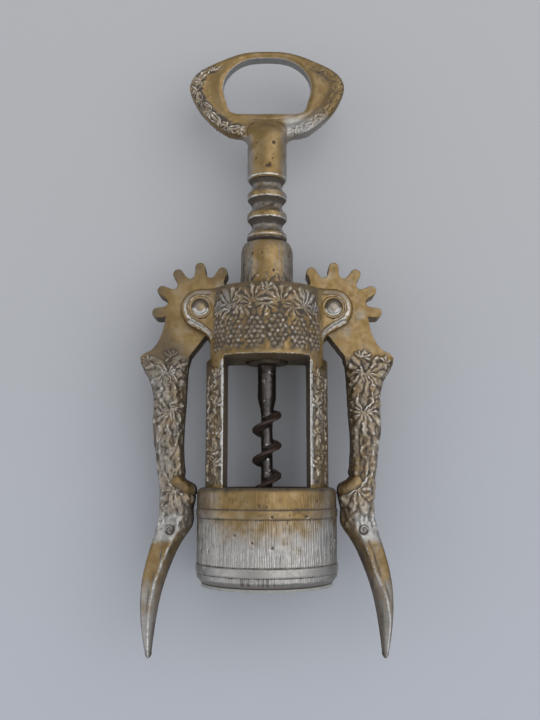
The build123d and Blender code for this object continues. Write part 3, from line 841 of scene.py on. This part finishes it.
# levers: flat gear plate, leafy arm, knob with a spur and a hanging leaf at the elbow, faceted horn
# what differs from arm to arm is listed by side, -1 for the left one and 1 for the right one
leverShape = {"voxel": 0.21, "reach": 36.48, "pivot": (18.92, 77.6), "plateEnd": 64.5, "armTop": 60.5,
              "hornTop": 14.0, "leafyTop": (64.0, 62.0), "overTop": (68.0, 66.0), "curlUp": (11.0, 13.0),
              "greyHorn": (7, -7), "gearShadeReach": (8.0, 14.5),
              "teeth": 12, "firstTooth": 2.5, "gapDepth": 0.9, "gearFrom": (9.0, 10.5), "gearLow": 75.5,
              "gapEnd": (13.2, 11.6), "tip": (-17.3, -19.9), "tipFlat": 0.35,
              "armRound": (0.50, 2.4), "innerFacet": 0.68, "outerFacet": (0.34, 1.4),
              "notches": ((1.2, 29.4, 1.3), (0.5, 24.9, 0.6)),  # depth, height, width on the knob
              "leaves": ((28.3, 59.6, 180, 8.2, 155, 11, 1.0), (27.8, 48.6, 180, 7.4, 155, 11, 1.0),
                         (33.6, 62.2, 60, 2.6, 120, 5, 0.9), (27.4, 63.6, 20, 3.0, 90, 5, 0.8),
                         (25.4, 51.2, -60, 3.0, 90, 5, 0.7), (30.6, 51.4, 60, 3.0, 90, 5, 0.7),
                         (25.4, 26.4, 158, 7.4, 120, 6, 1.25)),
              "stems": (((27.4, 44.0), (28.8, 40.3), (26.8, 37.2), (28.4, 34.2), (27.2, 30.0), (28.2, 27.0)),
                        ((30.8, 44.0), (30.7, 39.0), (30.3, 34.0), (29.9, 28.0), (30.0, 22.0), (30.8, 16.0)),
                        ((25.0, 43.0), (25.2, 37.0), (24.9, 32.0), (25.6, 28.0))),
              "stemThick": (0.80, 1.15, 1.0), "leafRise": 0.85, "stemRise": 0.55,
              "spur": ((20.2, 26.3), (22.4, 27.1), (25.0, 28.7)), "spurThick": 1.9, "spurRise": 0.75,
              "bump": (21.4, 23.3, 1.9), "bumpRise": 0.6,
              "curl": (27.1, 15.3), "curlRadius": 1.2, "curlTurns": 1.35, "curlWire": 0.30, "curlRise": 0.7,
              "trunk": (24, 28, 42, 46), "sideSpan": (12, 18, 62, 66), "barkGrain": (0.8, 2.2, 0.8),
              "bark": 0.16, "lumps": 0.30, "groundDrop": 0.22, "sideBark": 0.22, "roughness": 0.03,
              "bellGap": 0.12, "smoothSpan": (11.0, 13.5, 18.5, 20.5), "grooveSpan": (-9.0, -5.0, 16.0, 19.0),
              "grooveOff": 0.17,
              "relief": {-1: 0.58, 1: 0.74}, "petal": {-1: 1.0, 1: 0.8}, "drift": {-1: 0.80, 1: 0.50},
              "crest": {-1: 0.08, 1: 0.05},
              "ridge": {-1: ((-20.0, 0.48), (-8.0, 0.44), (0.0, 0.38), (8.4, 0.31), (14.0, 0.30)),
                        1: ((-20.0, 0.72), (-10.0, 0.78), (-4.0, 0.62), (0.0, 0.47), (4.0, 0.36),
                            (14.0, 0.38))},
              # the leaf shine is a painted highlight on the right arm's leaves; the side darkening of plain
              # parts and of the gear teeth is painted shade, heavier on the left arm
              "hollow": {-1: 1.0, 1: 1.25}, "leafShine": {-1: 0.0, 1: 0.15}, "leafGilt": {-1: 0.0, 1: 0.16},
              "sideShade": {-1: 0.29, 1: 0.14}, "hornSideTone": {-1: -0.10, 1: 0.14},
              "gearShade": {-1: 0.24, 1: 0.07}, "spurSideTone": {-1: 0.12, 1: -0.04},
              "loss": {"face": 0.28, "leafy": 0.20, "horn": 0.10, "hornLow": 0.60, "streak": 0.25,
                       "smooth": 0.75, "plate": 0.30, "crest": 0.5, "shine": 0.2},
              "stain": {"leafy": 0.30, "gap": 0.10, "patch": 0.14, "sides": 0.22, "plate": 0.14,
                        "inner": 0.42, "outer": 0.20, "streak": 0.14, "curl": 0.14, "curlGap": 0.50,
                        "groove": 0.45, "tip": 0.25, "smooth": 0.2, "crest": 0.2, "turned": 0.15,
                        "shine": 0.9},
              "shine": {"crest": 0.50, "smooth": 0.35, "leaf": 0.7}}


def edgesAlong(along, across, step=0.5):
    slots = np.floor((along - along.min()) / step).astype(np.int64)
    count = slots.max() + 1
    low, high = np.full(count, 1e9), np.full(count, -1e9)
    np.minimum.at(low, slots, across)
    np.maximum.at(high, slots, across)
    middle = along.min() + (np.arange(count) + 0.5) * step
    return np.interp(along, middle, low), np.interp(along, middle, high)


def carveGear(side, points, edges, shape):
    gx, gy = points[:, 0] * side - shape["pivot"][0], points[:, 1] - shape["pivot"][1]
    reach = np.hypot(gx, gy)
    tooth = np.cos(np.radians(shape["teeth"] * (np.degrees(np.arctan2(gy, -gx)) - shape["firstTooth"])))
    gear = ramp(*shape["gearFrom"], reach) * (points[:, 1] > shape["gearLow"])
    carve = shape["gapDepth"] * gear * ramp(0.35, -0.6, tooth) * ramp(*shape["gapEnd"], reach)
    points[:, 0] -= side * gx / np.maximum(reach, 1) * carve
    points[:, 1] -= gy / np.maximum(reach, 1) * carve
    return melt(points, edges, 5, gear), reach


# rounds the arm, facets the horn along its ridge and blunts its tip
def formArm(side, points, edges, shape):
    x, y, z = points[:, 0] * side, points[:, 1], points[:, 2]
    arm = ramp(shape["plateEnd"], shape["armTop"], y)
    horn = ramp(shape["hornTop"] + 2, shape["hornTop"] - 6, y)
    inner, outer = edgesAlong(y, np.where(y < shape["plateEnd"] + 1, x, shape["pivot"][0]))
    t = np.clip((x - inner) / np.maximum(outer - inner, 0.5), 0, 1)
    ridge = np.interp(y, *zip(*shape["ridge"][side]))
    drop, power = shape["armRound"]
    dome = 1 - drop * np.abs(2 * t - 1) ** power
    drop, power = shape["outerFacet"]
    inside = 1 - shape["innerFacet"] * (1 - t / ridge)
    facet = np.where(t < ridge, inside, 1 - drop * np.clip((t - ridge) / (1 - ridge), 0, 1) ** power)
    points[:, 2] = z * (1 - arm + arm * ((1 - horn) * dome + horn * facet))
    middle, half = (inner + outer) / 2, np.maximum((outer - inner) / 2, 0.2)
    tipTop, tipEnd = shape["tip"]
    taper = np.clip((tipTop - y) / (tipTop - tipEnd), 0, 1)
    blunt = half[np.argmin(np.abs(y - tipTop))] * np.sqrt(1 - 0.92 * taper ** 2)
    x = np.where(taper > 0, middle + (x - middle) * np.clip(blunt / half, 0.35, 1), x)
    for depth, height, width in shape["notches"]:
        x = x + ramp(0.40, 0.0, t) * depth * ridgeLine(y, height, width)
    points[:, 0] = side * x
    points[:, 2] *= 1 - shape["tipFlat"] * taper ** 2
    points = melt(points, edges, 12, arm * (1 - 0.6 * horn))
    return points, SimpleNamespace(arm=arm, horn=horn, inner=inner, t=t, ridge=ridge, taper=taper)


# leaves, stems, spur, bump and curl, with the share of the face that each takes
def armRelief(side, points, normals, shape):
    x, y = points[:, 0] * side, points[:, 1]
    aside, along = drift(points, shape["drift"][side], 95)
    u, h = x + aside, y + along
    relief = shape["leafRise"] * leafField(u, h, shape["leaves"], shape["petal"][side])
    lobe = ramp(0.25, 0.60, relief)
    for stem, thick in zip(shape["stems"], shape["stemThick"]):
        relief = np.maximum(relief, shape["stemRise"] * rope(u, h, softPath(stem), thick))
    spur = shape["spurRise"] * rope(x, y, softPath(shape["spur"]), shape["spurThick"])
    bx, by, size = shape["bump"]
    bump = shape["bumpRise"] * np.sqrt(np.clip(size ** 2 - (x - bx) ** 2 - (y - by) ** 2, 0, None))
    onSpur = ramp(0.3, 0.9, spur)
    relief = np.maximum(np.maximum(relief * (1 - onSpur), spur), bump)
    spiral = curl(x + 0.15 * aside, y + 0.15 * along, shape["curl"], shape["curlRadius"], shape["curlTurns"],
                  shape["curlWire"])
    lumps, hornTop = softNoise(points, 1.0, 42), shape["hornTop"]
    facing = ramp(0.10, 0.50, np.abs(normals[:, 2]))
    low = ramp(hornTop - 6.0, hornTop + 4.0, y + 2.5 * lumps)
    return SimpleNamespace(x=x, y=y, relief=relief, lobe=lobe, onSpur=onSpur, spiral=spiral, lumps=lumps,
                           facing=facing, bark=softNoise(points, shape["barkGrain"], 41),
                           leafy=ramp(*shape["leafyTop"], y) * low,
                           over=ramp(*shape["overTop"], y) * ramp(hornTop, hornTop + 3.0, y),
                           sides=(1 - facing) * within(y, *shape["sideSpan"]))


def armPush(side, points, normals, shape, on):
    trunk = within(on.y, *shape["trunk"])
    rough = shape["lumps"] * on.lumps + shape["bark"] * (1 + trunk) * on.bark
    push = shape["relief"][side] * on.relief * on.over - shape["groundDrop"] * on.leafy
    push += on.leafy * (1 - 0.8 * on.onSpur) * rough
    push += shape["curlRise"] * on.spiral * ramp(*shape["curlUp"], on.y)
    push = on.facing * push + shape["sideBark"] * on.sides * on.bark
    push += shape["roughness"] * softNoise(points, 1.2, 43)
    return np.minimum(push, np.where(normals[:, 0] * side > 0.3, shape["reach"] - 0.1 - on.x, 9))


def wearArm(side, piece, points, normals, shape, gearReach, form, on):
    loss, stain, shine = shape["loss"], shape["stain"], shape["shine"]
    y, t, ridge, horn, plate = on.y, form.t, form.ridge, form.horn, 1 - form.arm
    streak = softNoise(points, (0.7, 7.0, 2.0), 47)
    cover = ramp(0.05, 0.35, on.relief) * on.over
    # painted highlight: the right arm's leaf lobes are brightened, with gilt and grime taken off
    leafShine = shape["leafShine"][side] * on.lobe * on.over * on.facing
    smooth = within(y, *shape["smoothSpan"]) * ramp(ridge - 0.02, ridge + 0.05, t)
    crest = ridgeLine(t, ridge, shape["crest"][side]) * horn * np.clip(0.70 + 0.6 * streak, 0, 1)
    groove = ridgeLine(t, ridge + shape["grooveOff"], 0.045) * within(y, *shape["grooveSpan"])
    onCurl = ramp(1.7, 1.2, np.hypot(on.x - shape["curl"][0], y - shape["curl"][1]))
    gilt = 0.95 - loss["face"] * np.maximum(on.leafy, cover) * on.facing - loss["leafy"] * on.leafy
    gilt -= horn * (loss["horn"] + loss["hornLow"] * ramp(*shape["greyHorn"], y) + loss["streak"] * streak)
    gilt += 0.20 * softNoise(points, 3.0, 44 + side) + shape["leafGilt"][side] * on.leafy
    gilt += 0.4 * on.onSpur - loss["smooth"] * smooth - loss["crest"] * crest - loss["shine"] * leafShine
    gilt -= loss["plate"] * plate * ramp(0.05, 0.6, softNoise(points, 4.5, 48 + side))
    gaps = on.facing * ramp(0.25, 0.02, on.relief)
    grimeAndShade = on.leafy * (stain["leafy"] + stain["gap"] * gaps + stain["patch"] * softNoise(points, 1.7, 45))
    # painted shade: the arm's plain parts are darkened, the left arm more than the right
    grimeAndShade += stain["sides"] * on.sides + shape["sideShade"][side] * (1 - on.leafy)
    # painted shade on the gear teeth, much heavier on the left arm
    gearShade = shape["gearShade"][side] * ramp(*shape["gearShadeReach"], gearReach)
    grimeAndShade += plate * (stain["plate"] * softNoise(points, 3.2, 51 + side) + gearShade - 0.05)
    grimeAndShade += horn * (stain["inner"] * ramp(0.8 * ridge, 0.2 * ridge, t) + stain["outer"] * ramp(0.84, 0.98, t))
    # the right horn is darkened and the left one lightened
    grimeAndShade += horn * (stain["streak"] * ramp(0.1, 0.7, streak) + shape["hornSideTone"][side])
    grimeAndShade += on.facing * onCurl * (stain["curl"] + stain["curlGap"] * ramp(0.20, 0.05, on.spiral))
    grimeAndShade += stain["groove"] * groove * ramp(-0.5, 0.2, streak) + stain["tip"] * form.taper
    # the left spur is darkened and the right one lightened
    grimeAndShade += shape["spurSideTone"][side] * on.onSpur - stain["smooth"] * smooth - stain["crest"] * crest
    grimeAndShade += stain["turned"] * ramp(0.5, 0.2, np.abs(normals[:, 2])) - stain["shine"] * leafShine
    bright = shine["crest"] * crest + shine["smooth"] * smooth * (1 - onCurl) + shine["leaf"] * leafShine
    markWear(piece, gilt, grimeAndShade, shine=bright, gain=shape["hollow"][side])


def makeLever(side, name, node, body, shape):
    piece, edges, points = openSkin(name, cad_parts[node].data.copy(), shape["voxel"], 4)
    points, gearReach = carveGear(side, points, edges, shape)
    points, form = formArm(side, points, edges, shape)
    normals = shapedNormals(piece, points)
    on = armRelief(side, points, normals, shape)
    points = points + normals * armPush(side, points, normals, shape, on)[:, None]
    points = relax(points, edges, 1)
    across = points[:, 0] * side
    across = np.where(form.arm > 0.5, np.maximum(across, form.inner + shape["bellGap"]), across)
    points[:, 0] = side * np.minimum(across, shape["reach"])
    writePoints(piece.data, points)
    wearArm(side, piece, points, normals, shape, gearReach, form, on)
    settle(piece, body, zinc, node)


makeLever(-1, "leftArm", "left_lever", "left_arm", leverShape)
makeLever(1, "rightArm", "right_lever", "right_arm", leverShape)

# handle: opener ring with a dished band and a carved border, on its stem
ringShape = {"voxel": 0.21, "middle": (0.0, 147.0), "stemTop": 131.5, "stemLow": 117.75, "stemEdge": 5.45,
             "stemLean": 0.75, "tongueRise": 1.1, "tongueSpan": (134.5, 137.4, 139.0, 145.0),
             "tongueSide": (15.0, 11.5), "neckSkin": 1.6, "plateSkin": (3.2, 2.6), "holeReach": 20,
             "borderSide": (4.5, 8.0), "borderTop": (155.0, 152.5), "shoulderUp": (141, 135),
             "shoulderSide": (3, 7), "greySide": (3.4, 5.2), "rightSide": (7, 11), "rightUp": (135, 140),
             "neckHalf": 2.3, "neckSwell": 3.6, "neckSpan": (130.2, 138.0), "neckTop": 137.2, "neckWide": 6.3,
             "rootSpan": (127.5, 131.0, 135.5, 138.5), "rootSide": (9.5, 7.0), "rootRounds": 240,
             "border": 4.8, "borderFade": 1.6, "borderDrop": 0.40, "carveRise": 0.75, "dish": 0.55,
             "bevel": 1.3, "bevelDrop": 0.6, "wander": 0.70, "leaf": (150, 7, 0.9),
             "carving": ((13.8, 154.4, 20, 2.8), (17.4, 152.6, 40, 3.2), (20.4, 149.4, 70, 3.4),
                         (21.0, 145.6, 95, 3.4), (19.6, 142.0, 115, 3.4), (17.4, 138.8, 125, 3.3),
                         (14.6, 136.0, 140, 3.2), (11.2, 134.2, 160, 3.0), (8.2, 133.4, 170, 2.6)),
             "crescent": (136.6, 2.2, 9.8, 9.4), "crescentDrop": 0.12, "rough": ((0.03, 1.0), (0.02, 0.5)),
             "pits": ((-1.4, 132.6, 5.6, 0.7), (-3.2, 128.4, 5.0, 0.5), (2.1, 128.2, 5.5, 0.8),
                      (-3.4, 123.5, 4.8, 0.6), (1.6, 123.3, 5.7, 0.4), (0.6, 121.2, 5.9, 0.9),
                      (-0.2, 121.0, 5.9, 0.6)),
             "morePits": 14, "pitReach": 5.9, "pitTurn": (1.2, 5.0), "pitSpan": (119, 130),
             "pitSize": (0.25, 0.6), "pitWander": 0.25, "hem": (118.0, 118.3, 118.5, 118.9),
             "loss": {"border": 0.35, "shoulder": 0.8, "wall": 0.9, "stemSide": 0.55, "patch": 0.10},
             "stain": {"gap": 0.10, "leftGap": 0.35, "left": 0.55, "pit": 1.2, "crescent": 0.15,
                       "right": 0.32},
             "polish": (0.45, 0.40), "shine": {"wall": 0.5, "hem": 0.7}}


# lifts the ring's lower edge into a tongue and swells the stem into the plate
def formRing(points, edges, shape):
    x, y, z = points.T
    lift = within(y, *shape["tongueSpan"]) * ramp(*shape["tongueSide"], np.abs(x))
    points[:, 1] += shape["tongueRise"] * lift
    low, high = shape["neckSpan"]
    swell = ramp(shape["neckTop"], low, y) * np.sqrt(np.clip(1 - (x / shape["neckWide"]) ** 2, 0, 1))
    thick = np.maximum(np.abs(z), shape["neckHalf"] + shape["neckSwell"] * swell)
    points[:, 2] = np.where((np.abs(z) > shape["neckSkin"]) & (y > low) & (y < high), np.sign(z) * thick, z)
    root = within(y, *shape["rootSpan"]) * ramp(*shape["rootSide"], np.abs(x))
    return melt(points, edges, shape["rootRounds"], root)


def ringPits(shape):
    scatter = np.random.default_rng(13)
    holes, reach = list(shape["pits"]), shape["pitReach"]
    for i in range(shape["morePits"]):
        turn = scatter.uniform(*shape["pitTurn"])
        height = scatter.uniform(*shape["pitSpan"])
        place = (reach * math.sin(turn), height, reach * math.cos(turn))
        holes.append((*place, scatter.uniform(*shape["pitSize"])))
    return holes


def ringPlaces(points, normals, shape):
    x, y, z = points.T
    gx, gy = x - shape["middle"][0], y - shape["middle"][1]
    angle, reach = np.arctan2(gx, gy), np.hypot(gx, gy)
    plate = ramp(shape["stemTop"] - 0.5, shape["stemTop"] + 0.5, y)
    onRing = (y > shape["stemTop"]) | (np.abs(z) < shape["plateSkin"][1])
    inner, outer = edgesAlong(angle[onRing], reach[onRing], 0.03)
    fromHole, fromEdge = np.full(len(x), 9.0), np.full(len(x), 9.0)
    fromHole[onRing] = reach[onRing] - inner
    fromEdge[onRing] = outer - reach[onRing]
    facing = ramp(0.3, 0.7, np.abs(normals[:, 2])) * plate * ramp(*shape["plateSkin"], np.abs(z))
    return SimpleNamespace(x=x, y=y, gx=gx, reach=reach, plate=plate, fromHole=fromHole, fromEdge=fromEdge,
                           facing=facing, left=ramp(2.0, -2.0, x))


# dished band, carved border, bevelled hole and the line of the tongue
def ringRelief(points, at, shape):
    x, y, facing = at.x, at.y, at.facing
    band = at.fromHole + at.fromEdge
    share = np.clip(at.fromHole / np.maximum(band, 0.1), 0, 1)
    dish = facing * shape["dish"] * np.sin(share * np.pi) ** 1.2 * ramp(3.5, 6.0, band)
    border = facing * ramp(shape["border"], shape["border"] - shape["borderFade"], at.fromEdge)
    border = border * ramp(*shape["borderSide"], np.abs(at.gx)) * ramp(*shape["borderTop"], y)
    aside, along = drift(points, shape["wander"], 100)
    carving = leafField(np.abs(x) + aside, y + along, [(*leaf, *shape["leaf"]) for leaf in shape["carving"]])
    relief = shape["carveRise"] * carving - shape["borderDrop"] + 0.20 * softNoise(points, 1.1, 54)
    push = border * relief * (0.50 + 0.50 * at.left) - dish * (1 - border)
    push -= facing * shape["bevelDrop"] * ramp(shape["bevel"], 0.0, at.fromHole)
    height, bow, bowWide, crescentHalf = shape["crescent"]
    bowed = np.abs(y - height - bow * (x / bowWide) ** 2)
    at.crescent = facing * ramp(0.40, 0.10, bowed) * (np.abs(x) < crescentHalf)
    at.border, at.carving = border, carving
    push += roughSkin(points, shape["rough"], 51) - shape["crescentDrop"] * at.crescent
    return np.minimum(push, 0.5 * facing)


def wearRing(piece, points, depth, at, shape):
    x, y, plate, left, border = at.x, at.y, at.plate, at.left, at.border
    loss, stain, shine = shape["loss"], shape["stain"], shape["shine"]
    # painted reflection: the hole's inner wall faces down and is made bright, with its gilt taken off and no
    # grime on it
    wall = plate * (1 - at.facing) * ramp(1.2, 0.6, at.fromHole) * (at.reach < shape["holeReach"])
    gilt = 0.98 - loss["border"] * border * left
    gilt -= loss["shoulder"] * ramp(*shape["shoulderUp"], y) * ramp(*shape["shoulderSide"], x) * plate
    gilt -= loss["wall"] * wall + loss["stemSide"] * (1 - plate) * ramp(*shape["greySide"], np.abs(x))
    gilt -= loss["patch"] * softNoise(points, 4.0, 53)
    gaps = ramp(0.25, 0.02, at.carving) * (stain["gap"] + stain["leftGap"] * left)
    grimeAndShade = border * (gaps + stain["left"] * left * ramp(0.0, 0.5, softNoise(points, 1.4, 57)))
    grimeAndShade += stain["crescent"] * at.crescent - stain["pit"] * depth
    # painted shade: the right part of the plate is darkened for how the light falls on the dished band
    grimeAndShade += stain["right"] * plate * ramp(*shape["rightSide"], x) * ramp(*shape["rightUp"], y)
    polish = (shape["polish"][0] + shape["polish"][1] * left) * (1 - wall)
    bright = shine["wall"] * wall + shine["hem"] * within(y, *shape["hem"])
    markWear(piece, gilt, grimeAndShade, polish=polish, shine=bright, gain=1 - wall)


def makeHandle(shape):
    piece, edges, points = openSkin("openerHandle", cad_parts["handle"].data.copy(), shape["voxel"], 4)
    points = formRing(points, edges, shape)
    normals = shapedNormals(piece, points)
    at = ringPlaces(points, normals, shape)
    points = points + normals * ringRelief(points, at, shape)[:, None]
    ragged = np.column_stack([softNoise(points, 0.5, 55), softNoise(points, 0.5, 56), np.zeros(len(points))])
    depth = pits(points + shape["pitWander"] * ragged, ringPits(shape))
    points = relax(points + normals * depth[:, None], edges, 1)
    points = melt(points, edges, 10, at.plate * ramp(2.0, 1.0, at.fromHole))
    stem = shape["stemEdge"] + shape["stemLean"] * (points[:, 1] - shape["stemLow"])
    stem = np.where(points[:, 1] < shape["stemLow"] + 0.6, stem, 99)
    points[:, [0, 2]] *= np.minimum(1, stem / np.maximum(np.hypot(points[:, 0], points[:, 2]), 0.1))[:, None]
    writePoints(piece.data, points)
    wearRing(piece, points, depth, at, shape)
    settle(piece, "spindle", zinc, "handle")


makeHandle(ringShape)

# rack: turned rings, with painted shade on each groove's down-facing upper flank, a painted highlight along
# each crest and a painted shadow where the collar shades the last land
rackShape = {"voxel": 0.19, "root": 4.42, "radius": 5.9, "pitch": 6.28, "groove": 109.523,
             "above": 2.4, "below": 2.2, "flank": 1.6, "bore": 3.4, "collarTop": 98.4, "bottom": 62.2,
             "rough": ((0.05, 0.8), (0.04, 2.0)),
             "crestHighlightWide": 0.22, "lastCrestHighlight": (2.0, 0.25), "gilt": 0.48, "landGilt": 0.42,
             "loss": {"groove": 0.30, "side": 0.45, "crest": 0.4},
             "stain": {"groove": 0.62, "patch": 0.45, "flank": 0.22, "bottom": 0.7,
                       "crest": 0.3, "collar": 0.9},
             "sharp": 0.06, "deep": 0.30, "shine": 0.65}


def makeRack(shape):
    piece, edges, points = openSkin("ringRack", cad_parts["rack"].data.copy(), shape["voxel"], 4)
    r, y = np.hypot(points[:, 0], points[:, 2]), points[:, 1].copy()
    above, below, loss, stain = shape["above"], shape["below"], shape["loss"], shape["stain"]
    rise = (y - shape["groove"] + below) % shape["pitch"] - below
    share = np.clip(np.where(rise > 0, rise / above, -rise / below), 0, 1)
    mantle = shape["root"] + (shape["radius"] - shape["root"]) * share ** shape["flank"]
    outer = (r > shape["bore"]) & (y > shape["bottom"] + 1.5)
    points[:, [0, 2]] *= np.where(outer, mantle / np.maximum(r, 1), 1)[:, None]
    points = melt(points, edges, 5)
    normals = shapedNormals(piece, points)
    points = points + normals * roughSkin(points, shape["rough"], 61)[:, None]
    writePoints(piece.data, points)
    turn = np.abs(np.arctan2(points[:, 0], np.abs(points[:, 2])))
    land = ramp(-0.9 * below, -below, rise) + ramp(above - 0.2, above + 0.1, rise)
    # painted highlight: a bright line along each crest, with the gilt and grime taken off it
    crest = ridgeLine(rise, above + 0.1, shape["crestHighlightWide"]) * (0.75 + 0.4 * softNoise(points, 1.5, 65))
    gilt = shape["gilt"] + shape["landGilt"] * land - loss["groove"] * ramp(0.2, 1.2, rise) * (1 - land)
    gilt += 0.30 * softNoise(points, 1.8, 63) - loss["side"] * ramp(0.6, 1.1, turn)
    # painted shade on each groove's upper flank, which faces down
    grimeAndShade = stain["groove"] * ramp(0.0, 1.2, rise) * ramp(above + 0.1, 2.1, rise)
    grimeAndShade += stain["patch"] * ramp(0.15, 0.6, softNoise(points, (1.1, 0.8, 1.1), 64))
    grimeAndShade += stain["flank"] * (1 - land)
    grimeAndShade += stain["bottom"] * ramp(shape["bottom"] + 3.5, shape["bottom"] + 2.5, y) - stain["crest"] * crest
    collar = shape["collarTop"]
    # painted shadow: the land just above the collar is darkened as it lies in the collar's shade
    grimeAndShade += stain["collar"] * ramp(collar + 1.7, collar + 1.3, y) * (y > collar - 8)
    # painted highlight kept on the last crest, above the painted shadow
    crest = np.maximum(crest, ridgeLine(y, collar + shape["lastCrestHighlight"][0], shape["lastCrestHighlight"][1]))
    markWear(piece, gilt - loss["crest"] * crest, grimeAndShade, shape["sharp"], shape["deep"],
             shine=shape["shine"] * crest)
    settle(piece, "rack", zinc, "rack")


makeRack(rackShape)

# worm: slim flight on a round core, rust on the flight and below the head
wormShape = {"voxel": 0.16, "core": 1.7, "pitch": 8.6, "flightTop": 48.0, "flightCrest": 3.9, "slim": 0.70,
             "rough": ((0.05, 0.7), (0.04, 1.8)), "flightRust": 0.75, "rustTop": 49, "headRust": 0.6,
             "headFrom": (58.5, 61.5)}


def makeWorm(shape):
    piece, edges, points = openSkin("spiralWorm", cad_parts["worm"].data.copy(), shape["voxel"], 6)
    r, y, pitch = np.hypot(points[:, 0], points[:, 2]), points[:, 1], shape["pitch"]
    climb = y - np.arctan2(points[:, 0], points[:, 2]) / (2 * np.pi) * pitch
    onFlight = y < shape["flightTop"]
    crest = (r > shape["flightCrest"]) & onFlight
    start = np.angle(np.exp(2j * np.pi / pitch * climb[crest]).mean()) * pitch / (2 * np.pi)
    off = (climb - start + pitch / 2) % pitch - pitch / 2
    near = ramp(shape["core"] + 0.1, shape["core"] + 0.8, r) * ramp(2.4, 1.6, np.abs(off)) * onFlight
    points[:, 1] -= (1 - shape["slim"]) * near * off
    points = melt(points, edges, 6)
    normals = shapedNormals(piece, points)
    points = points + normals * roughSkin(points, shape["rough"], 71)[:, None]
    writePoints(piece.data, points)
    r, y = np.hypot(points[:, 0], points[:, 2]), points[:, 1]
    rust = shape["flightRust"] * ramp(shape["core"] + 0.2, shape["core"] + 0.9, r) * (y < shape["rustTop"])
    storeMark(piece.data, "rust", np.maximum(rust, shape["headRust"] * ramp(*shape["headFrom"], y)))
    piece.data.shade_smooth()
    settle(piece, "spindle", wornSteel("wormSteel", wormSteel), "worm")


makeWorm(wormShape)

# pivot rivets: a dome in a shallow groove, with a painted highlight below and painted shade above
rivetShape = {"voxel": 0.13, "crown": 0.9, "dome": 2.25, "domeRise": 1.30, "grooveRise": 0.55,
              "rimRise": 0.95, "head": 2.85, "rimReach": 0.27, "under": 0.12, "gilt": 0.60,
              "giltPatch": 0.25, "rimGilt": 0.35,
              "highlightGiltLoss": 0.5, "ringShade": 0.55, "grooveShade": 0.2, "sharp": 0.08, "deep": 0.4, "polish": 0.5}


def makeRivet(name, node, shape):
    piece, edges, points = openSkin(name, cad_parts[node].data.copy(), shape["voxel"], 0)
    middle, dome = (points.min(0) + points.max(0)) / 2, shape["dome"]
    r = np.hypot(points[:, 0] - middle[0], points[:, 1] - middle[1])
    headStart = points[:, 2].max() - shape["crown"]
    rise = shape["domeRise"] * np.sqrt(np.clip(1 - (r / dome) ** 2, 0, 1))
    rise = np.maximum(rise, shape["rimRise"] * ramp(dome + 0.05, dome + 0.3, r))
    rise = np.maximum(rise, shape["grooveRise"])
    height = np.abs(points[:, 2])
    onRim = (height > headStart - 0.1) * ramp(dome + 0.2, shape["head"] - 0.1, r)
    widen = 1 + shape["rimReach"] * onRim / np.maximum(r, 1)
    points[:, :2] = middle[:2] + (points[:, :2] - middle[:2]) * widen[:, None]
    crown = headStart + np.minimum(height - headStart, shape["under"]) + rise
    points[:, 2] = np.sign(points[:, 2]) * np.where(height > headStart, crown, height)
    points = relax(points, edges, 6)
    writePoints(piece.data, points)
    # below marks the lower half: the ring there gets a painted highlight, and the ring and groove above it
    # get painted shade
    below = ramp(0.4, -0.6, points[:, 1] - middle[1])
    ring = within(r, 0.9, 1.4, dome, dome + 0.2)
    gilt = shape["gilt"] + shape["giltPatch"] * softNoise(points, 1.5, 81) - shape["highlightGiltLoss"] * ring * below
    gilt += shape["rimGilt"] * ramp(dome + 0.15, dome + 0.3, r)
    groove = ramp(0.4, 0.1, np.abs(r - dome - 0.1))
    grimeAndShade = (shape["ringShade"] * ring + shape["grooveShade"] * groove) * (1 - below)
    markWear(piece, gilt, grimeAndShade, shape["sharp"], shape["deep"], shape["polish"], ring * below)
    settle(piece, "frame", zinc, node)


makeRivet("leftPivot", "left_rivet", rivetShape)
makeRivet("rightPivot", "right_rivet", rivetShape)

# the cross pin and the seat ring keep their CAD shape
seatPlastic = matPlastic("seatPlastic", seatTone)
for node, slot, material in (("handle_pin", "rivet_metal", zinc), ("seat_ring", "seat_plastic", seatPlastic)):
    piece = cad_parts[node]
    piece.data.materials.clear()
    piece.data.materials.append(material)

size = {"cad": [list(corner) for corner in cadBox], "visual": [list(corner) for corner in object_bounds()]}
print("size", size)
